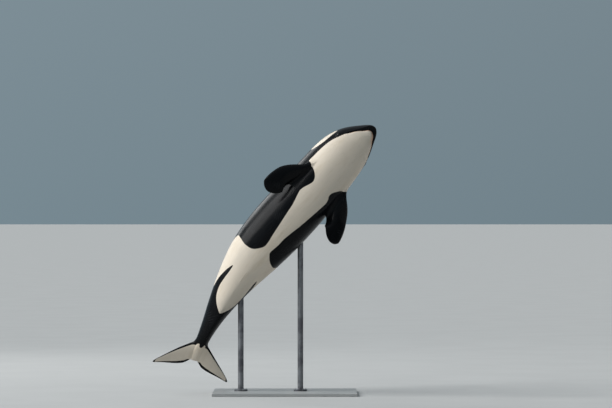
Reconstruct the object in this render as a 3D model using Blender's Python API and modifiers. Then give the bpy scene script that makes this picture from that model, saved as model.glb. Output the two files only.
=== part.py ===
# A life-size killer whale caught in a leap, held on a flat base by two rods.
# Metres, +Z up. The origin lies on the floor, at the middle of the base.
#
# The whale is first described straight, by three measures:
#   station  how far aft a point lies, 0 at the tip of the snout, 1 at the notch of the flukes
#   across   metres to the whale's left of its middle plane
#   up       metres towards its back
# and is then bent along a curved spine into the leap.

import math

import bmesh
import bpy
import numpy
from mathutils import Matrix, Vector

# Driving dimensions
LENGTH = 6.0
SNOUT_AT = (1.757, -0.135, 5.186)
GAP = 0.0003
ROLL = math.radians(15.0)
# The head is turned a little further about the spine, less and less up to the second station
HEAD_ROLL = math.radians(7.0)
HEAD_ROLL_FADE = (0.02, 0.30)

BASE_SIZE = (2.80, 1.90, 0.060)
BASE_EDGE = 0.010
ROD_RADIUS = 0.055
ROD_FOOT_RADIUS = 0.13
ROD_FOOT_HEIGHT = 0.030
ROD_FRONT_X = 0.30
ROD_REAR_X = -0.86

# Outlines of the straight body: station, then a share of LENGTH
BACK = ((0.0, 0.0), (0.01, 0.0197), (0.04, 0.0400), (0.10, 0.0655), (0.20, 0.0882), (0.35, 0.1010),
        (0.50, 0.0960), (0.65, 0.0730), (0.80, 0.0500), (0.90, 0.0280), (0.95, 0.0120), (1.0, 0.0020))
BELLY = ((0.0, 0.0), (0.01, 0.0176), (0.04, 0.0353), (0.10, 0.0587), (0.20, 0.0820), (0.35, 0.0970),
         (0.50, 0.0940), (0.65, 0.0720), (0.80, 0.0500), (0.90, 0.0280), (0.95, 0.0120), (1.0, 0.0020))
HALF_WIDTH = ((0.0, 0.0), (0.01, 0.0183), (0.04, 0.0387), (0.10, 0.0709), (0.20, 0.0867),
              (0.35, 0.0925), (0.50, 0.0910), (0.60, 0.0785), (0.70, 0.0570), (0.80, 0.0360),
              (0.90, 0.0215), (0.96, 0.0170), (1.0, 0.0060))
# How sharp the ridges of back and belly are: under 1 is full and flat, over 1 is a keel
KEEL = ((0.0, 1.0), (0.10, 0.92), (0.35, 0.94), (0.60, 1.05), (0.75, 1.30), (0.88, 1.45),
        (0.96, 1.10), (1.0, 1.0))
WIDEST_LEVEL = 0.47
# Where the body itself ends, in the notch between the flukes
TAIL_END = 0.987

# The bent spine: station, then degrees. DIVE is the slope of the body in the plane of the leap,
# ARCH how far the tail bends out of that plane towards the back.
DIVE = ((0.0, 37.8), (0.1, 40.4), (0.2, 48.8), (0.3, 48.5), (0.5, 48.5), (0.7, 57.5), (1.0, 68.0))
ARCH = ((0.0, 10.0), (0.15, 4.0), (0.35, 0.0), (0.55, 1.0), (0.75, 9.0), (1.0, 22.0))
# How much shorter the spine is than LENGTH, all of it ahead of this station
HEAD_SHORTER = 0.028
HEAD_SHORTER_TO = 0.20

# Where rows and columns of the surface fall, with the number of cells in each stretch
STATION_BREAKS = (0.0, 0.10, 0.155, 0.205, 0.332, 0.352, 0.525, 0.62, 0.905, 0.985, 1.0)
STATION_CELLS = (15, 4, 4, 8, 2, 10, 5, 13, 7, 1)
ANGLE_BREAKS = (0.0, 0.25, 0.3125, 0.375, 0.6875, 0.9375, 1.0)
ANGLE_CELLS = (5, 1, 1, 6, 5, 1)

# Mouth
MOUTH_SHARE = 0.3125
MOUTH_CORNER = 0.088
MOUTH_ANGLE = ((0.0, 85.0), (0.02, 61.0), (0.05, 58.5), (0.10, 60.9), (0.20, 56.25), (1.0, 56.25))
LIP_REACH = 0.016
LIP_DEPTH = 0.014
MOUTH_FADE = 0.010
# The lower jaw's tip lies under this row of the surface, and its shape catches up at the fade
OVERBITE_ROW = 6
OVERBITE_FADE = 0.36
LIP_COLUMN = 0.020
LIP_OFFSET_MOST = 4.0

# Fins: where a section's round nose and round heel begin, and how near the tip the last ring lies
FIN_NOSE = 0.05
FIN_HEEL = 0.96
FIN_LAST = 0.995
FIN_ROUND_FROM = 0.94
FIN_ROWS = 9
FLIPPER_FILLET_ROWS = 2
FLUKE_FILLET_ROWS = 3

# Flippers
FLIPPER_STATION = 0.273
FLIPPER_ANGLE = 56.0
FLIPPER_SUNK = 0.10
FLIPPER_BEND = 0.12
FLIPPER_FIRST = 0.12
FLIPPER_LENGTH = 0.815
# Each one's sweep aft, rise towards the back, and twist of the trailing edge
FLIPPER_LEFT = (45.0, -31.0, 63.0)
FLIPPER_RIGHT = (53.9, -13.0, 29.0)
FLIPPER_ROOT_CHORD = 0.58
FLIPPER_HALF_CHORD = 0.276
# Sections turn from fore and aft towards square to the paddle up to here, and keep this share
FLIPPER_TURNED_AT = 0.486
FLIPPER_FORE_AND_AFT = 0.288
FLIPPER_ROUND_FROM = 0.48
FLIPPER_ROUND_POWER = 2.3
FLIPPER_LEAD_CUT = 0.50
FLIPPER_TRAIL_FULL = 0.184
FLIPPER_TIP_SHARE = 0.15
FLIPPER_THICKNESS = ((0.0, 0.17), (0.3, 0.14), (0.6, 0.10), (1.0, 0.07))

# Dorsal fin
DORSAL_HEIGHT = 0.72
DORSAL_SUNK = 0.09
DORSAL_BASE = 0.585
DORSAL_LEAD = 2.24
DORSAL_LEAD_SLOPE = 0.68
DORSAL_LEAD_BEND = 0.60
DORSAL_TRAIL = 3.03
DORSAL_TRAIL_SLOPE = 0.64
DORSAL_TRAIL_BEND = 0.93
DORSAL_THICKNESS = 0.105
DORSAL_TIP_THICKNESS = 0.014
DORSAL_THINNING = 0.8
DORSAL_FIRST = 0.20

# Flukes
FLUKE_HALF_SPAN = 0.78
FLUKE_INNER = 0.03
FLUKE_ROOT = 0.10
FLUKE_LEAD = 5.50
FLUKE_SWEEP = 0.85
FLUKE_SWEEP_BEND = 0.12
FLUKE_TRAIL = 5.83
FLUKE_NOTCH_DEPTH = 0.28
FLUKE_NOTCH_WIDTH = 0.15
FLUKE_TIP_REACH = 0.07
FLUKE_LEVEL = 0.0
FLUKE_CURL = -0.05
FLUKE_THICKNESS = 0.080
FLUKE_TIP_THICKNESS = 0.010
FLUKE_THINNING = 1.3
FLUKE_FIRST = 0.20

# Named rows and columns of the surface
ROW_NAMES = (("jaw", 0.10), ("neck", 0.155), ("flipper_front", 0.205), ("flipper_rear", 0.332),
             ("waist", 0.342), ("dorsal_front", 0.352), ("dorsal_rear", 0.525), ("vent", 0.62),
             ("fluke_front", 0.905), ("fluke_rear", 0.985))
COLUMN_NAMES = (("flipper_low", 0.25), ("flipper_high", 0.375), ("fluke_low", 0.3125),
                ("fluke_high", 0.6875), ("dorsal", 0.9375))

# Eyes and lids
EYE_STATION = 0.106
EYE_ANGLE = 73.0
EYE_RADIUS = 0.026
EYE_SUNK = 0.019
LID_LENGTH = 0.031
LID_HEIGHT = 0.021
LID_PINCH = 0.25
LID_THICKNESS = 0.008
LID_RAISE = -0.001
BALL_CELLS = (24, 12)
LID_CELLS = (24, 8)

# Blowhole
BLOWHOLE_AT = 0.118
BLOWHOLE_RADIUS = 0.055
BLOWHOLE_TURN = 65.0
BLOWHOLE_DEPTH = 0.008
BLOWHOLE_POINTS = 9
BLOWHOLE_ROUNDING = 2

# Rods
ROD_SUNK = 0.10
ROD_TOP_GAP = 0.0004
ROD_FOOT_FILLET = 0.020
ROD_STEPS = 32

# Finishes: colour, roughness, metallic
BLACK_SKIN = ((0.006, 0.007, 0.009), 0.25, 0.0)
WHITE_SKIN = ((0.78, 0.75, 0.66), 0.35, 0.0)
DARK_EYE = ((0.02, 0.012, 0.008), 0.08, 0.0)
STEEL = ((0.12, 0.12, 0.13), 0.4, 0.8)
BOARD = ((0.35, 0.35, 0.34), 0.5, 0.0)

# Fine steps: along the spine, over the surface, and the distance at which points are joined
SPINE_STEPS = 1200
SMALL_STEP = 0.002
JOIN = 0.0001


def smooth_curve(points):
    """Natural cubic through the points, as a function of the first value."""
    x, y = numpy.array(points, dtype=float).T
    step = numpy.diff(x)
    count = len(x)
    matrix = numpy.eye(count)
    right = numpy.zeros(count)
    for i in range(1, count - 1):
        matrix[i, i - 1:i + 2] = step[i - 1], 2.0 * (step[i - 1] + step[i]), step[i]
        right[i] = 6.0 * ((y[i + 1] - y[i]) / step[i] - (y[i] - y[i - 1]) / step[i - 1])
    bend = numpy.linalg.solve(matrix, right)

    def value(at):
        at = numpy.clip(at, x[0], x[-1])
        k = numpy.clip(numpy.searchsorted(x, at, side="right") - 1, 0, count - 2)
        h = step[k]
        left = (x[k + 1] - at) / h
        rest = 1.0 - left
        curve = (left ** 3 - left) * bend[k] + (rest ** 3 - rest) * bend[k + 1]
        return left * y[k] + rest * y[k + 1] + curve * h * h / 6.0

    return value


def blunt_curve(points):
    """The same, spaced by the square root of the station, which rounds off the snout."""
    curve = smooth_curve([(math.sqrt(station), value) for station, value in points])
    return lambda station: curve(numpy.sqrt(numpy.maximum(station, 0.0)))


back_line = blunt_curve(BACK)
belly_line = blunt_curve(BELLY)
half_width = blunt_curve(HALF_WIDTH)
keel_power = smooth_curve(KEEL)
mouth_angle = smooth_curve(MOUTH_ANGLE)
dive_angle = smooth_curve(DIVE)
arch_angle = smooth_curve(ARCH)
flipper_thickness = smooth_curve(FLIPPER_THICKNESS)


def fade(value, start, end):
    """1 before start, 0 after end, smooth between them."""
    t = numpy.clip((value - start) / (end - start), 0.0, 1.0)
    return 1.0 - t * t * (3.0 - 2.0 * t)


def section(station):
    """Widest level, height above it, depth below it, half width and keel at a station."""
    top = back_line(station) * LENGTH
    bottom = -belly_line(station) * LENGTH
    level = bottom + WIDEST_LEVEL * (top - bottom)
    return level, top - level, level - bottom, half_width(station) * LENGTH, keel_power(station)


def mean_radius(station):
    """A middling radius of the body at a station, to turn lengths round it into angles."""
    height, depth, width = section(station)[1:4]
    return numpy.sqrt(numpy.maximum(width * 0.5 * (height + depth), 1e-12))


def plain_body(station, angle):
    """A point on the smooth body; angle runs from 0 at the belly's midline to pi at the back's."""
    level, height, depth, width, keel = section(station)
    across = width * numpy.maximum(numpy.sin(angle), 0.0) ** keel
    up = level - numpy.where(angle < math.pi / 2, depth, height) * numpy.cos(angle)
    return numpy.stack([station * LENGTH, across, up], axis=-1)


def column_angle(share, station):
    """Columns sway a little so that one of them runs along the mouth."""
    sway = numpy.radians(mouth_angle(station)) - math.pi * MOUTH_SHARE
    weight = numpy.where(share < MOUTH_SHARE, share / MOUTH_SHARE, (1.0 - share) / (1.0 - MOUTH_SHARE))
    return math.pi * share + sway * weight


def body_normal(station, angle):
    """Outward normal of the smooth body, by small steps."""
    step = 1e-4
    aft = plain_body(station + step, angle) - plain_body(numpy.maximum(station - step, 0.0), angle)
    around = plain_body(station, angle + step) - plain_body(station, angle - step)
    normal = numpy.cross(around, aft)
    size = numpy.linalg.norm(normal, axis=-1, keepdims=True)
    return normal / numpy.maximum(size, 1e-12)


def body_surface(station, angle):
    """The body with the groove between its lips."""
    point = plain_body(station, angle)
    from_mouth = (angle - numpy.radians(mouth_angle(station))) * mean_radius(station)
    open_part = fade(station, MOUTH_CORNER - MOUTH_FADE, MOUTH_CORNER)
    groove = LIP_DEPTH * numpy.exp(-(from_mouth / LIP_REACH) ** 2) * open_part
    normal = body_normal(station, angle)
    normal = numpy.where(station[..., None] < 1e-6, numpy.array([-1.0, 0.0, 0.0]), normal)
    return point - normal * groove[..., None]


def column_angles(station, shares, offsets):
    """Angles of all columns at each station, one row for each station."""
    station = numpy.asarray(station, dtype=float)[:, None]
    most = math.radians(LIP_OFFSET_MOST)
    aside = numpy.clip(numpy.asarray(offsets)[None, :] / mean_radius(station), -most, most)
    return column_angle(numpy.asarray(shares)[None, :], station) + aside


def split_breaks(breaks, cells):
    """All values from the first break to the last, with so many even cells in each stretch."""
    values = [breaks[0]]
    for start, end, count in zip(breaks, breaks[1:], cells):
        values += [start + (end - start) * (i + 1) / count for i in range(count)]
    return values


def all_stations():
    """The first stretch is spaced by the square root, so rows stay even round the snout."""
    values = split_breaks(STATION_BREAKS, STATION_CELLS)
    snout_rows = STATION_CELLS[0]
    for i in range(snout_rows):
        values[i] = STATION_BREAKS[1] * (i / snout_rows) ** 2
    return values


def all_columns():
    """Shares of the half circle from belly to back, with a lip column on each side of the mouth."""
    shares = split_breaks(ANGLE_BREAKS, ANGLE_CELLS)
    mouth = shares.index(MOUTH_SHARE)
    shares[mouth:mouth + 1] = [MOUTH_SHARE] * 3
    offsets = [0.0] * len(shares)
    offsets[mouth] = -LIP_COLUMN
    offsets[mouth + 2] = LIP_COLUMN
    return shares, offsets, mouth + 1


def spine_table(steps):
    """Place and directions along the bent spine: place, aft, left, up."""
    station = numpy.linspace(0.0, 1.0, steps + 1)
    run = station + HEAD_SHORTER / LENGTH * fade(station, 0.0, HEAD_SHORTER_TO)
    dive = numpy.radians(dive_angle(run))
    arch = numpy.radians(arch_angle(run))
    zero = numpy.zeros_like(station)
    aft = numpy.stack([-numpy.cos(arch) * numpy.cos(dive), numpy.sin(arch),
                       -numpy.cos(arch) * numpy.sin(dive)], axis=-1)
    side = numpy.stack([numpy.sin(dive), zero, -numpy.cos(dive)], axis=-1)
    over = numpy.cross(-aft, side)
    roll = (ROLL + HEAD_ROLL * fade(station, *HEAD_ROLL_FADE))[:, None]
    left = side * numpy.cos(roll) + over * numpy.sin(roll)
    up = over * numpy.cos(roll) - side * numpy.sin(roll)
    middle = 0.5 * (aft[1:] + aft[:-1]) * LENGTH * numpy.diff(run)[:, None]
    place = numpy.array(SNOUT_AT) + numpy.vstack([numpy.zeros(3), numpy.cumsum(middle, axis=0)])
    return station, place, aft, left, up


SPINE = spine_table(SPINE_STEPS)


def along_spine(station, table):
    """One of the spine's tables, read at the stations."""
    return numpy.stack([numpy.interp(station, SPINE[0], table[:, k]) for k in range(3)], axis=-1)


def pose(points):
    """Points of the straight whale, bent into the leap."""
    points = numpy.asarray(points, dtype=float)
    station = numpy.clip(points[..., 0] / LENGTH, 0.0, 1.0)
    past_end = points[..., 0] - station * LENGTH
    place = along_spine(station, SPINE[1]) + along_spine(station, SPINE[2]) * past_end[..., None]
    left = along_spine(station, SPINE[3]) * points[..., 1:2]
    up = along_spine(station, SPINE[4]) * points[..., 2:3]
    return place + left + up


def inside_body(points):
    """True where a point of the straight whale lies in the plain body."""
    station = numpy.clip(points[..., 0] / LENGTH, 0.0, 1.0)
    level, height, depth, width, keel = section(station)
    rise = points[..., 2] - level
    reach = numpy.where(rise < 0.0, depth, height)
    wide = (numpy.abs(points[..., 1]) / width) ** (2.0 / keel)
    return wide + (rise / reach) ** 2 < 1.0


# Fins

def fin_loop(chord_cells, thick_cells):
    """Round a fin's section: share of the chord, and side from -1 (lower) to 1 (upper)."""
    nose, heel = FIN_NOSE, FIN_HEEL
    along = numpy.arange(chord_cells) / chord_cells
    across = 2.0 * numpy.arange(thick_cells) / thick_cells - 1.0
    lower = nose + (heel - nose) * along
    trailing = heel + (1.0 - heel) * (1.0 - across ** 2)
    upper = heel + (nose - heel) * along
    leading = nose * across ** 2
    one = numpy.ones(chord_cells)
    return (numpy.concatenate([lower, trailing, upper, leading]),
            numpy.concatenate([-one, across, one, -across]))


def fin_profile(x):
    """Half thickness of a wing section along its chord, 1 at its thickest."""
    return (2.969 * numpy.sqrt(x) - 1.260 * x - 3.516 * x ** 2 + 2.843 * x ** 3 - 0.960 * x ** 4)


def fin_section(fin, t, loop):
    """One ring of points round a fin at share t of its span."""
    lead, trail, lift, thickness = fin(t)
    x, side = loop
    half = 0.5 * thickness * fin_profile(x) * side
    return lead + (trail - lead) * x[:, None] + lift * half[:, None]


def round_end(t, start, power=2.0):
    """1 up to start, then falling to 0 at 1 as the quarter of an ellipse."""
    u = numpy.clip((t - start) / (1.0 - start), 0.0, 1.0)
    return math.sqrt(max(1.0 - u ** power, 0.0))


def round_tip(lead, trail, t):
    """The two edges of a section, drawn together near the tip."""
    middle = 0.5 * (lead + trail)
    tip = round_end(t, FIN_ROUND_FROM)
    return middle + (lead - middle) * tip, middle + (trail - middle) * tip


def fin_rows(first):
    """Shares of the span, closer together towards the tip."""
    turns = [0.5 * math.pi * i / FIN_ROWS for i in range(1, FIN_ROWS + 1)]
    return [first + (FIN_LAST - first) * math.sin(turn) for turn in turns]


def fillet(boundary, normals, inner, outer, rows):
    """Rings that sweep from the body's surface into the fin, the last one on the fin."""
    low = numpy.zeros(len(inner))
    high = numpy.ones(len(inner))
    for _ in range(40):
        middle = 0.5 * (low + high)
        sunk = inside_body(inner + (outer - inner) * middle[:, None])
        low = numpy.where(sunk, middle, low)
        high = numpy.where(sunk, high, middle)
    corner = inner + (outer - inner) * low[:, None]
    rise = numpy.sum((corner - boundary) * normals, axis=-1, keepdims=True)
    corner = corner - rise * normals
    rings = []
    for i in range(1, rows + 1):
        u = i / rows
        rings.append((1 - u) ** 2 * boundary + 2 * u * (1 - u) * corner + u * u * outer)
    return rings


def loop_patch(loop, chord_cells, thick_cells):
    """A four-sided sheet of points spanned inside a loop, to close it."""
    n, m = chord_cells, thick_cells
    low = [loop[i] for i in range(n + 1)]
    right = [loop[n + j] for j in range(m + 1)]
    top = [loop[2 * n + m - i] for i in range(n + 1)]
    left = [loop[(2 * n + 2 * m - j) % len(loop)] for j in range(m + 1)]
    sheet = numpy.zeros((n + 1, m + 1, 3))
    for i in range(n + 1):
        for j in range(m + 1):
            u, v = i / n, j / m
            sides = (1 - v) * low[i] + v * top[i] + (1 - u) * left[j] + u * right[j]
            corners = ((1 - u) * (1 - v) * low[0] + u * (1 - v) * low[n]
                       + (1 - u) * v * top[0] + u * v * top[n])
            sheet[i, j] = sides - corners
    return sheet


def flipper(sweep, rise, twist):
    """A paddle that leaves the chest square to it and then sweeps aft to a round tip.

    Near the chest a section runs fore and aft; further out it turns square to the paddle,
    with its trailing edge twisted down.
    """
    length = FLIPPER_LENGTH
    angle = math.radians(FLIPPER_ANGLE)
    root = plain_body(numpy.array(FLIPPER_STATION), numpy.array(angle))
    normal = body_normal(numpy.array(FLIPPER_STATION), numpy.array(angle))
    normal = normal * numpy.array([0.0, 1.0, 1.0])
    normal = normal / numpy.linalg.norm(normal)
    sweep = math.radians(sweep)
    twist = math.radians(twist)
    spread = numpy.array([0.0, math.cos(math.radians(rise)), math.sin(math.radians(rise))])
    sunk = FLIPPER_SUNK / math.cos(sweep)
    aft = numpy.array([1.0, 0.0, 0.0])

    def middle(along):
        out = along * math.cos(sweep)
        leave = math.exp(-max(out, 0.0) / FLIPPER_BEND)
        return root + aft * along * math.sin(sweep) + out * (spread + (normal - spread) * leave)

    def section_at(t):
        along = -sunk + (length + sunk) * t
        course = middle(along + 0.001) - middle(along - 0.001)
        course = course / numpy.linalg.norm(course)
        chord = aft - course * course[0]
        chord = chord / numpy.linalg.norm(chord)
        lift = -numpy.cross(course, chord)
        turned = chord * math.cos(twist) - lift * math.sin(twist)
        square = float(fade(along, FLIPPER_FIRST, FLIPPER_TURNED_AT))
        keep = FLIPPER_FORE_AND_AFT + (1.0 - FLIPPER_FORE_AND_AFT) * square
        chord = keep * aft + (1.0 - keep) * turned
        chord = chord / numpy.linalg.norm(chord)
        lift = -numpy.cross(course, chord)
        lift = lift / numpy.linalg.norm(lift)
        share = max(along / length, 0.0)
        tip = round_end(share, FLIPPER_ROUND_FROM, FLIPPER_ROUND_POWER)
        half = (0.5 * FLIPPER_ROOT_CHORD * square + FLIPPER_HALF_CHORD * (1.0 - square)) * tip
        thickness = float(flipper_thickness(t)) * (FLIPPER_TIP_SHARE + (1.0 - FLIPPER_TIP_SHARE) * tip)
        lead = middle(along) - chord * half * (1.0 - FLIPPER_LEAD_CUT * share ** 2)
        trail = middle(along) + chord * half * (1.0 + FLIPPER_TRAIL_FULL * share ** 2)
        return lead, trail, lift, thickness

    return section_at, (FLIPPER_FIRST + sunk) / (length + sunk)


def dorsal_fin(t):
    """A low fin with a hollow trailing edge, its tip pointing aft."""
    rise = -DORSAL_SUNK + (DORSAL_HEIGHT + DORSAL_SUNK) * t
    high = max(rise, 0.0)
    lead = DORSAL_LEAD + DORSAL_LEAD_SLOPE * rise + DORSAL_LEAD_BEND * high * high
    trail = DORSAL_TRAIL - DORSAL_TRAIL_SLOPE * high + DORSAL_TRAIL_BEND * high * high
    up = DORSAL_BASE + rise
    thickness = DORSAL_THICKNESS * (1.0 - t) ** DORSAL_THINNING + DORSAL_TIP_THICKNESS
    edges = round_tip(numpy.array([lead, 0.0, up]), numpy.array([trail, 0.0, up]), t)
    return (*edges, numpy.array([0.0, -1.0, 0.0]), thickness)


def fluke(t):
    """One side of the tail's flat blade, with a swept leading edge and a notch at the middle."""
    out = FLUKE_INNER + (FLUKE_HALF_SPAN - FLUKE_INNER) * t
    past_root = out - FLUKE_ROOT
    lead = FLUKE_LEAD + FLUKE_SWEEP * past_root + FLUKE_SWEEP_BEND * past_root * abs(past_root)
    heel = 1.0 - math.exp(-out / FLUKE_NOTCH_WIDTH)
    trail = FLUKE_TRAIL + FLUKE_NOTCH_DEPTH * heel + FLUKE_TIP_REACH * t ** 3
    up = FLUKE_LEVEL + FLUKE_CURL * t * t
    thickness = FLUKE_THICKNESS * (1.0 - t) ** FLUKE_THINNING + FLUKE_TIP_THICKNESS
    edges = round_tip(numpy.array([lead, out, up]), numpy.array([trail, out, up]), t)
    return (*edges, numpy.array([0.0, 0.0, 1.0]), thickness)


# Assembly: faces are gathered as lists of world points, and each node is made from its own list

def mirrored(points, side):
    """The point itself on the left side, its mirror image on the right."""
    return points * numpy.array([1.0, side, 1.0])


def add_strip(faces, first, second, closed):
    """Four-sided faces between two rows of points."""
    count = len(first)
    for k in range(count if closed else count - 1):
        n = (k + 1) % count
        faces.append((first[k], first[n], second[n], second[k]))


def add_sheet(faces, sheet):
    """Four-sided faces over a grid of points."""
    for row, following in zip(sheet[:-1], sheet[1:]):
        add_strip(faces, row, following, False)


def add_lid(faces, sheet):
    """Triangles over a grid of points, always split along the same diagonal."""
    for row, following in zip(sheet[:-1], sheet[1:]):
        for k in range(len(row) - 1):
            faces.append((row[k], row[k + 1], following[k + 1]))
            faces.append((row[k], following[k + 1], following[k]))


def add_fan(faces, ring):
    """A flat lid over a closed ring."""
    middle = numpy.mean(ring, axis=0)
    for k in range(len(ring)):
        faces.append((ring[k], ring[(k + 1) % len(ring)], middle))


def make_mesh(name, faces):
    """A closed mesh from faces that share their corner points."""
    mesh = bpy.data.meshes.new(name)
    shape = bmesh.new()
    known = {}
    for corners in faces:
        loop = []
        for corner in corners:
            key = tuple(round(float(value), 6) for value in corner)
            if key not in known:
                known[key] = shape.verts.new([float(value) for value in corner])
            if known[key] not in loop:
                loop.append(known[key])
        if len(loop) > 2:
            shape.faces.new(loop)
    bmesh.ops.recalc_face_normals(shape, faces=shape.faces)
    if shape.calc_volume(signed=True) < 0.0:
        bmesh.ops.reverse_faces(shape, faces=shape.faces)
    bmesh.ops.triangulate(shape, faces=shape.faces, quad_method="SHORT_EDGE")
    shape.to_mesh(mesh)
    shape.free()
    mesh.shade_smooth()
    return mesh


def make_material(name, finish):
    """A plain finish in the given colour."""
    color, roughness, metallic = finish
    material = bpy.data.materials.new(name)
    material.use_nodes = True
    shader = material.node_tree.nodes["Principled BSDF"]
    shader.inputs["Base Color"].default_value = (*color, 1.0)
    shader.inputs["Roughness"].default_value = roughness
    shader.inputs["Metallic"].default_value = metallic
    material.diffuse_color = (*color, 1.0)
    return material


def break_row(values, at):
    """The index of a break among rows or columns."""
    return min(range(len(values)), key=lambda k: abs(values[k] - at))


def straight_body():
    """Rows and columns of the straight whale's left half, with both ends drawn to a point."""
    stations = all_stations()
    shares, offsets, mouth = all_columns()
    angles = column_angles(stations, shares, offsets)
    station_grid = numpy.repeat(numpy.array(stations)[:, None], len(shares), axis=1)
    points = body_surface(station_grid, angles)
    points[:, 0, 1] = 0.0
    points[:, -1, 1] = 0.0
    points[0] = points[0, mouth]
    points[-1] = numpy.array([LENGTH * TAIL_END, 0.0, float(section(1.0)[0])])
    normals = body_normal(station_grid, angles)
    return stations, shares, mouth, points, normals


def set_back(x, overbite):
    """Where along the head the lower jaw takes its section from, 0 at its own tip."""
    along = numpy.linspace(0.0, OVERBITE_FADE, SPINE_STEPS)
    reached = along + overbite * fade(along, 0.0, OVERBITE_FADE)
    return numpy.where(x < OVERBITE_FADE, numpy.interp(x, reached, along), x)


def jaw_points(stations, points, jaw_row):
    """Rows of the lower jaw's left half, set back under the snout and meeting the same floor."""
    rows = numpy.array(stations[OVERBITE_ROW:jaw_row + 1])
    behind = set_back(rows * LENGTH, rows[0] * LENGTH) / LENGTH
    shares, offsets, mouth = all_columns()
    angles = column_angles(behind, shares, offsets)[:, :mouth + 1]
    grid = numpy.repeat(behind[:, None], mouth + 1, axis=1)
    jaw = body_surface(grid, angles)
    moved = (points[OVERBITE_ROW:jaw_row + 1, mouth] - jaw[:, mouth]) * numpy.array([1.0, 0.0, 1.0])
    jaw += moved[:, None, :]
    jaw[:, 0, 1] = 0.0
    jaw[0] = jaw[0, mouth] * numpy.array([1.0, 0.0, 1.0])
    return jaw


def grow_fin(points, normals, rows, columns, side, shape, first, fillet_rows):
    """Rings of world points from the body's surface out to a fin's tip."""
    low, high = rows
    cells = (high - low, len(columns) - 1)
    path = [(i, 0) for i in range(low, high)]
    path += [(high, j) for j in range(cells[1])]
    path += [(i, cells[1]) for i in range(high, low, -1)]
    path += [(low, j) for j in range(cells[1], 0, -1)]
    flip = [numpy.array([1.0, columns[j][1], 1.0]) for i, j in path]
    boundary = numpy.array([points[i, columns[j][0]] * sign for (i, j), sign in zip(path, flip)])
    facing = numpy.array([normals[i, columns[j][0]] * sign for (i, j), sign in zip(path, flip)])
    loop = fin_loop(*cells)
    inner = fin_section(shape, 0.0, loop)
    outer = fin_section(shape, first, loop)
    rings = [boundary] + fillet(boundary, facing, inner, outer, fillet_rows)
    rings += [fin_section(shape, t, loop) for t in fin_rows(first)]
    return [pose(mirrored(ring, side)) for ring in rings], cells


def split_fin(rings, cells, cut):
    """Faces that stay with the body, and faces of the fin beyond a thin cut."""
    out = numpy.mean(rings[cut + 1], axis=0) - numpy.mean(rings[cut], axis=0)
    out *= 0.5 * GAP / numpy.linalg.norm(out)
    stump = rings[:cut] + [rings[cut] - out]
    fin = [rings[cut] + out] + rings[cut + 1:]
    body_faces = []
    fin_faces = []
    for first, second in zip(stump[:-1], stump[1:]):
        add_strip(body_faces, first, second, True)
    add_lid(body_faces, loop_patch(stump[-1], *cells))
    for first, second in zip(fin[:-1], fin[1:]):
        add_strip(fin_faces, first, second, True)
    add_lid(fin_faces, loop_patch(fin[0], *cells))
    add_sheet(fin_faces, loop_patch(fin[-1], *cells))
    return body_faces, fin_faces


def side_faces(faces, half, rows, columns, hole=None):
    """Faces of one half of the body between rows and columns, but for a rectangular hole."""
    for i in range(*rows):
        for j in range(*columns):
            in_hole = hole and hole[0] <= i < hole[1] and hole[2] <= j < hole[3]
            if not in_hole:
                faces.append((half[i, j], half[i + 1, j], half[i + 1, j + 1], half[i, j + 1]))


def whole_ring(left, right, row):
    """One row of points all the way round."""
    return numpy.concatenate([left[row], right[row, -2:0:-1]])


def trunk_node(left, right, rows, aft, hole, extra, closed_end=True):
    """A length of the body between two thin cuts."""
    first, last = rows
    left, right = left.copy(), right.copy()
    left[first] += 0.5 * GAP * aft[first]
    right[first] += 0.5 * GAP * aft[first]
    faces = list(extra)
    add_fan(faces, whole_ring(left, right, first))
    if closed_end:
        left[last] -= 0.5 * GAP * aft[last]
        right[last] -= 0.5 * GAP * aft[last]
        add_fan(faces, whole_ring(left, right, last))
    for half in (left, right):
        side_faces(faces, half, rows, (0, left.shape[1] - 1), hole)
    return faces


def lower_arc(left, right, mouth):
    """Rows from the left corner of the mouth under the chin to the right one."""
    return numpy.concatenate([left[:, mouth::-1], right[:, 1:mouth + 1]], axis=1)


def mouth_floor(arc):
    """Straight lines across the mouth, with as many points as the arc below them."""
    share = numpy.linspace(0.0, 1.0, arc.shape[1])[None, :, None]
    return arc[:, :1] * (1.0 - share) + arc[:, -1:] * share


def jaw_node(left, right, mouth, aft, up):
    """The lower jaw, under the line of the mouth."""
    arc = lower_arc(left, right, mouth)
    floor = mouth_floor(arc)
    down = 0.5 * GAP * up
    arc[:, 0] -= down
    arc[:, -1] -= down
    floor -= down[:, None, :]
    arc[0] = floor[0, 0]
    floor[0] = floor[0, 0]
    for sheet in (arc, floor):
        sheet[-1] -= 0.5 * GAP * aft
    faces = []
    add_sheet(faces, arc)
    add_lid(faces, floor)
    add_lid(faces, (arc[-1], floor[-1]))
    return faces


def head_node(left, right, jaw_row, neck_row, mouth, aft, up):
    """The upper jaw and the rest of the head, back to the first cut."""
    left, right = left.copy(), right.copy()
    floor = mouth_floor(lower_arc(left, right, mouth))[:jaw_row + 1]
    lift = 0.5 * GAP * up[:jaw_row + 1]
    for half in (left, right):
        half[:jaw_row + 1, mouth] += lift
        half[0] = half[0, mouth]
        half[jaw_row, :mouth + 1] += 0.5 * GAP * aft[jaw_row]
        half[neck_row] -= 0.5 * GAP * aft[neck_row]
    floor += lift[:, None, :]
    floor[jaw_row] += 0.5 * GAP * aft[jaw_row]
    faces = []
    columns = left.shape[1] - 1
    for half in (left, right):
        side_faces(faces, half, (0, jaw_row), (mouth, columns))
        side_faces(faces, half, (jaw_row, neck_row), (0, columns))
    add_lid(faces, floor)
    add_lid(faces, (lower_arc(left, right, mouth)[jaw_row], floor[jaw_row]))
    add_fan(faces, whole_ring(left, right, neck_row))
    return faces


# Objects

def clear_scene():
    """Start from an empty scene."""
    for item in list(bpy.data.objects):
        bpy.data.objects.remove(item, do_unlink=True)


def new_collection(name):
    """A collection linked to the scene."""
    collection = bpy.data.collections.new(name)
    bpy.context.scene.collection.children.link(collection)
    return collection


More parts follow.
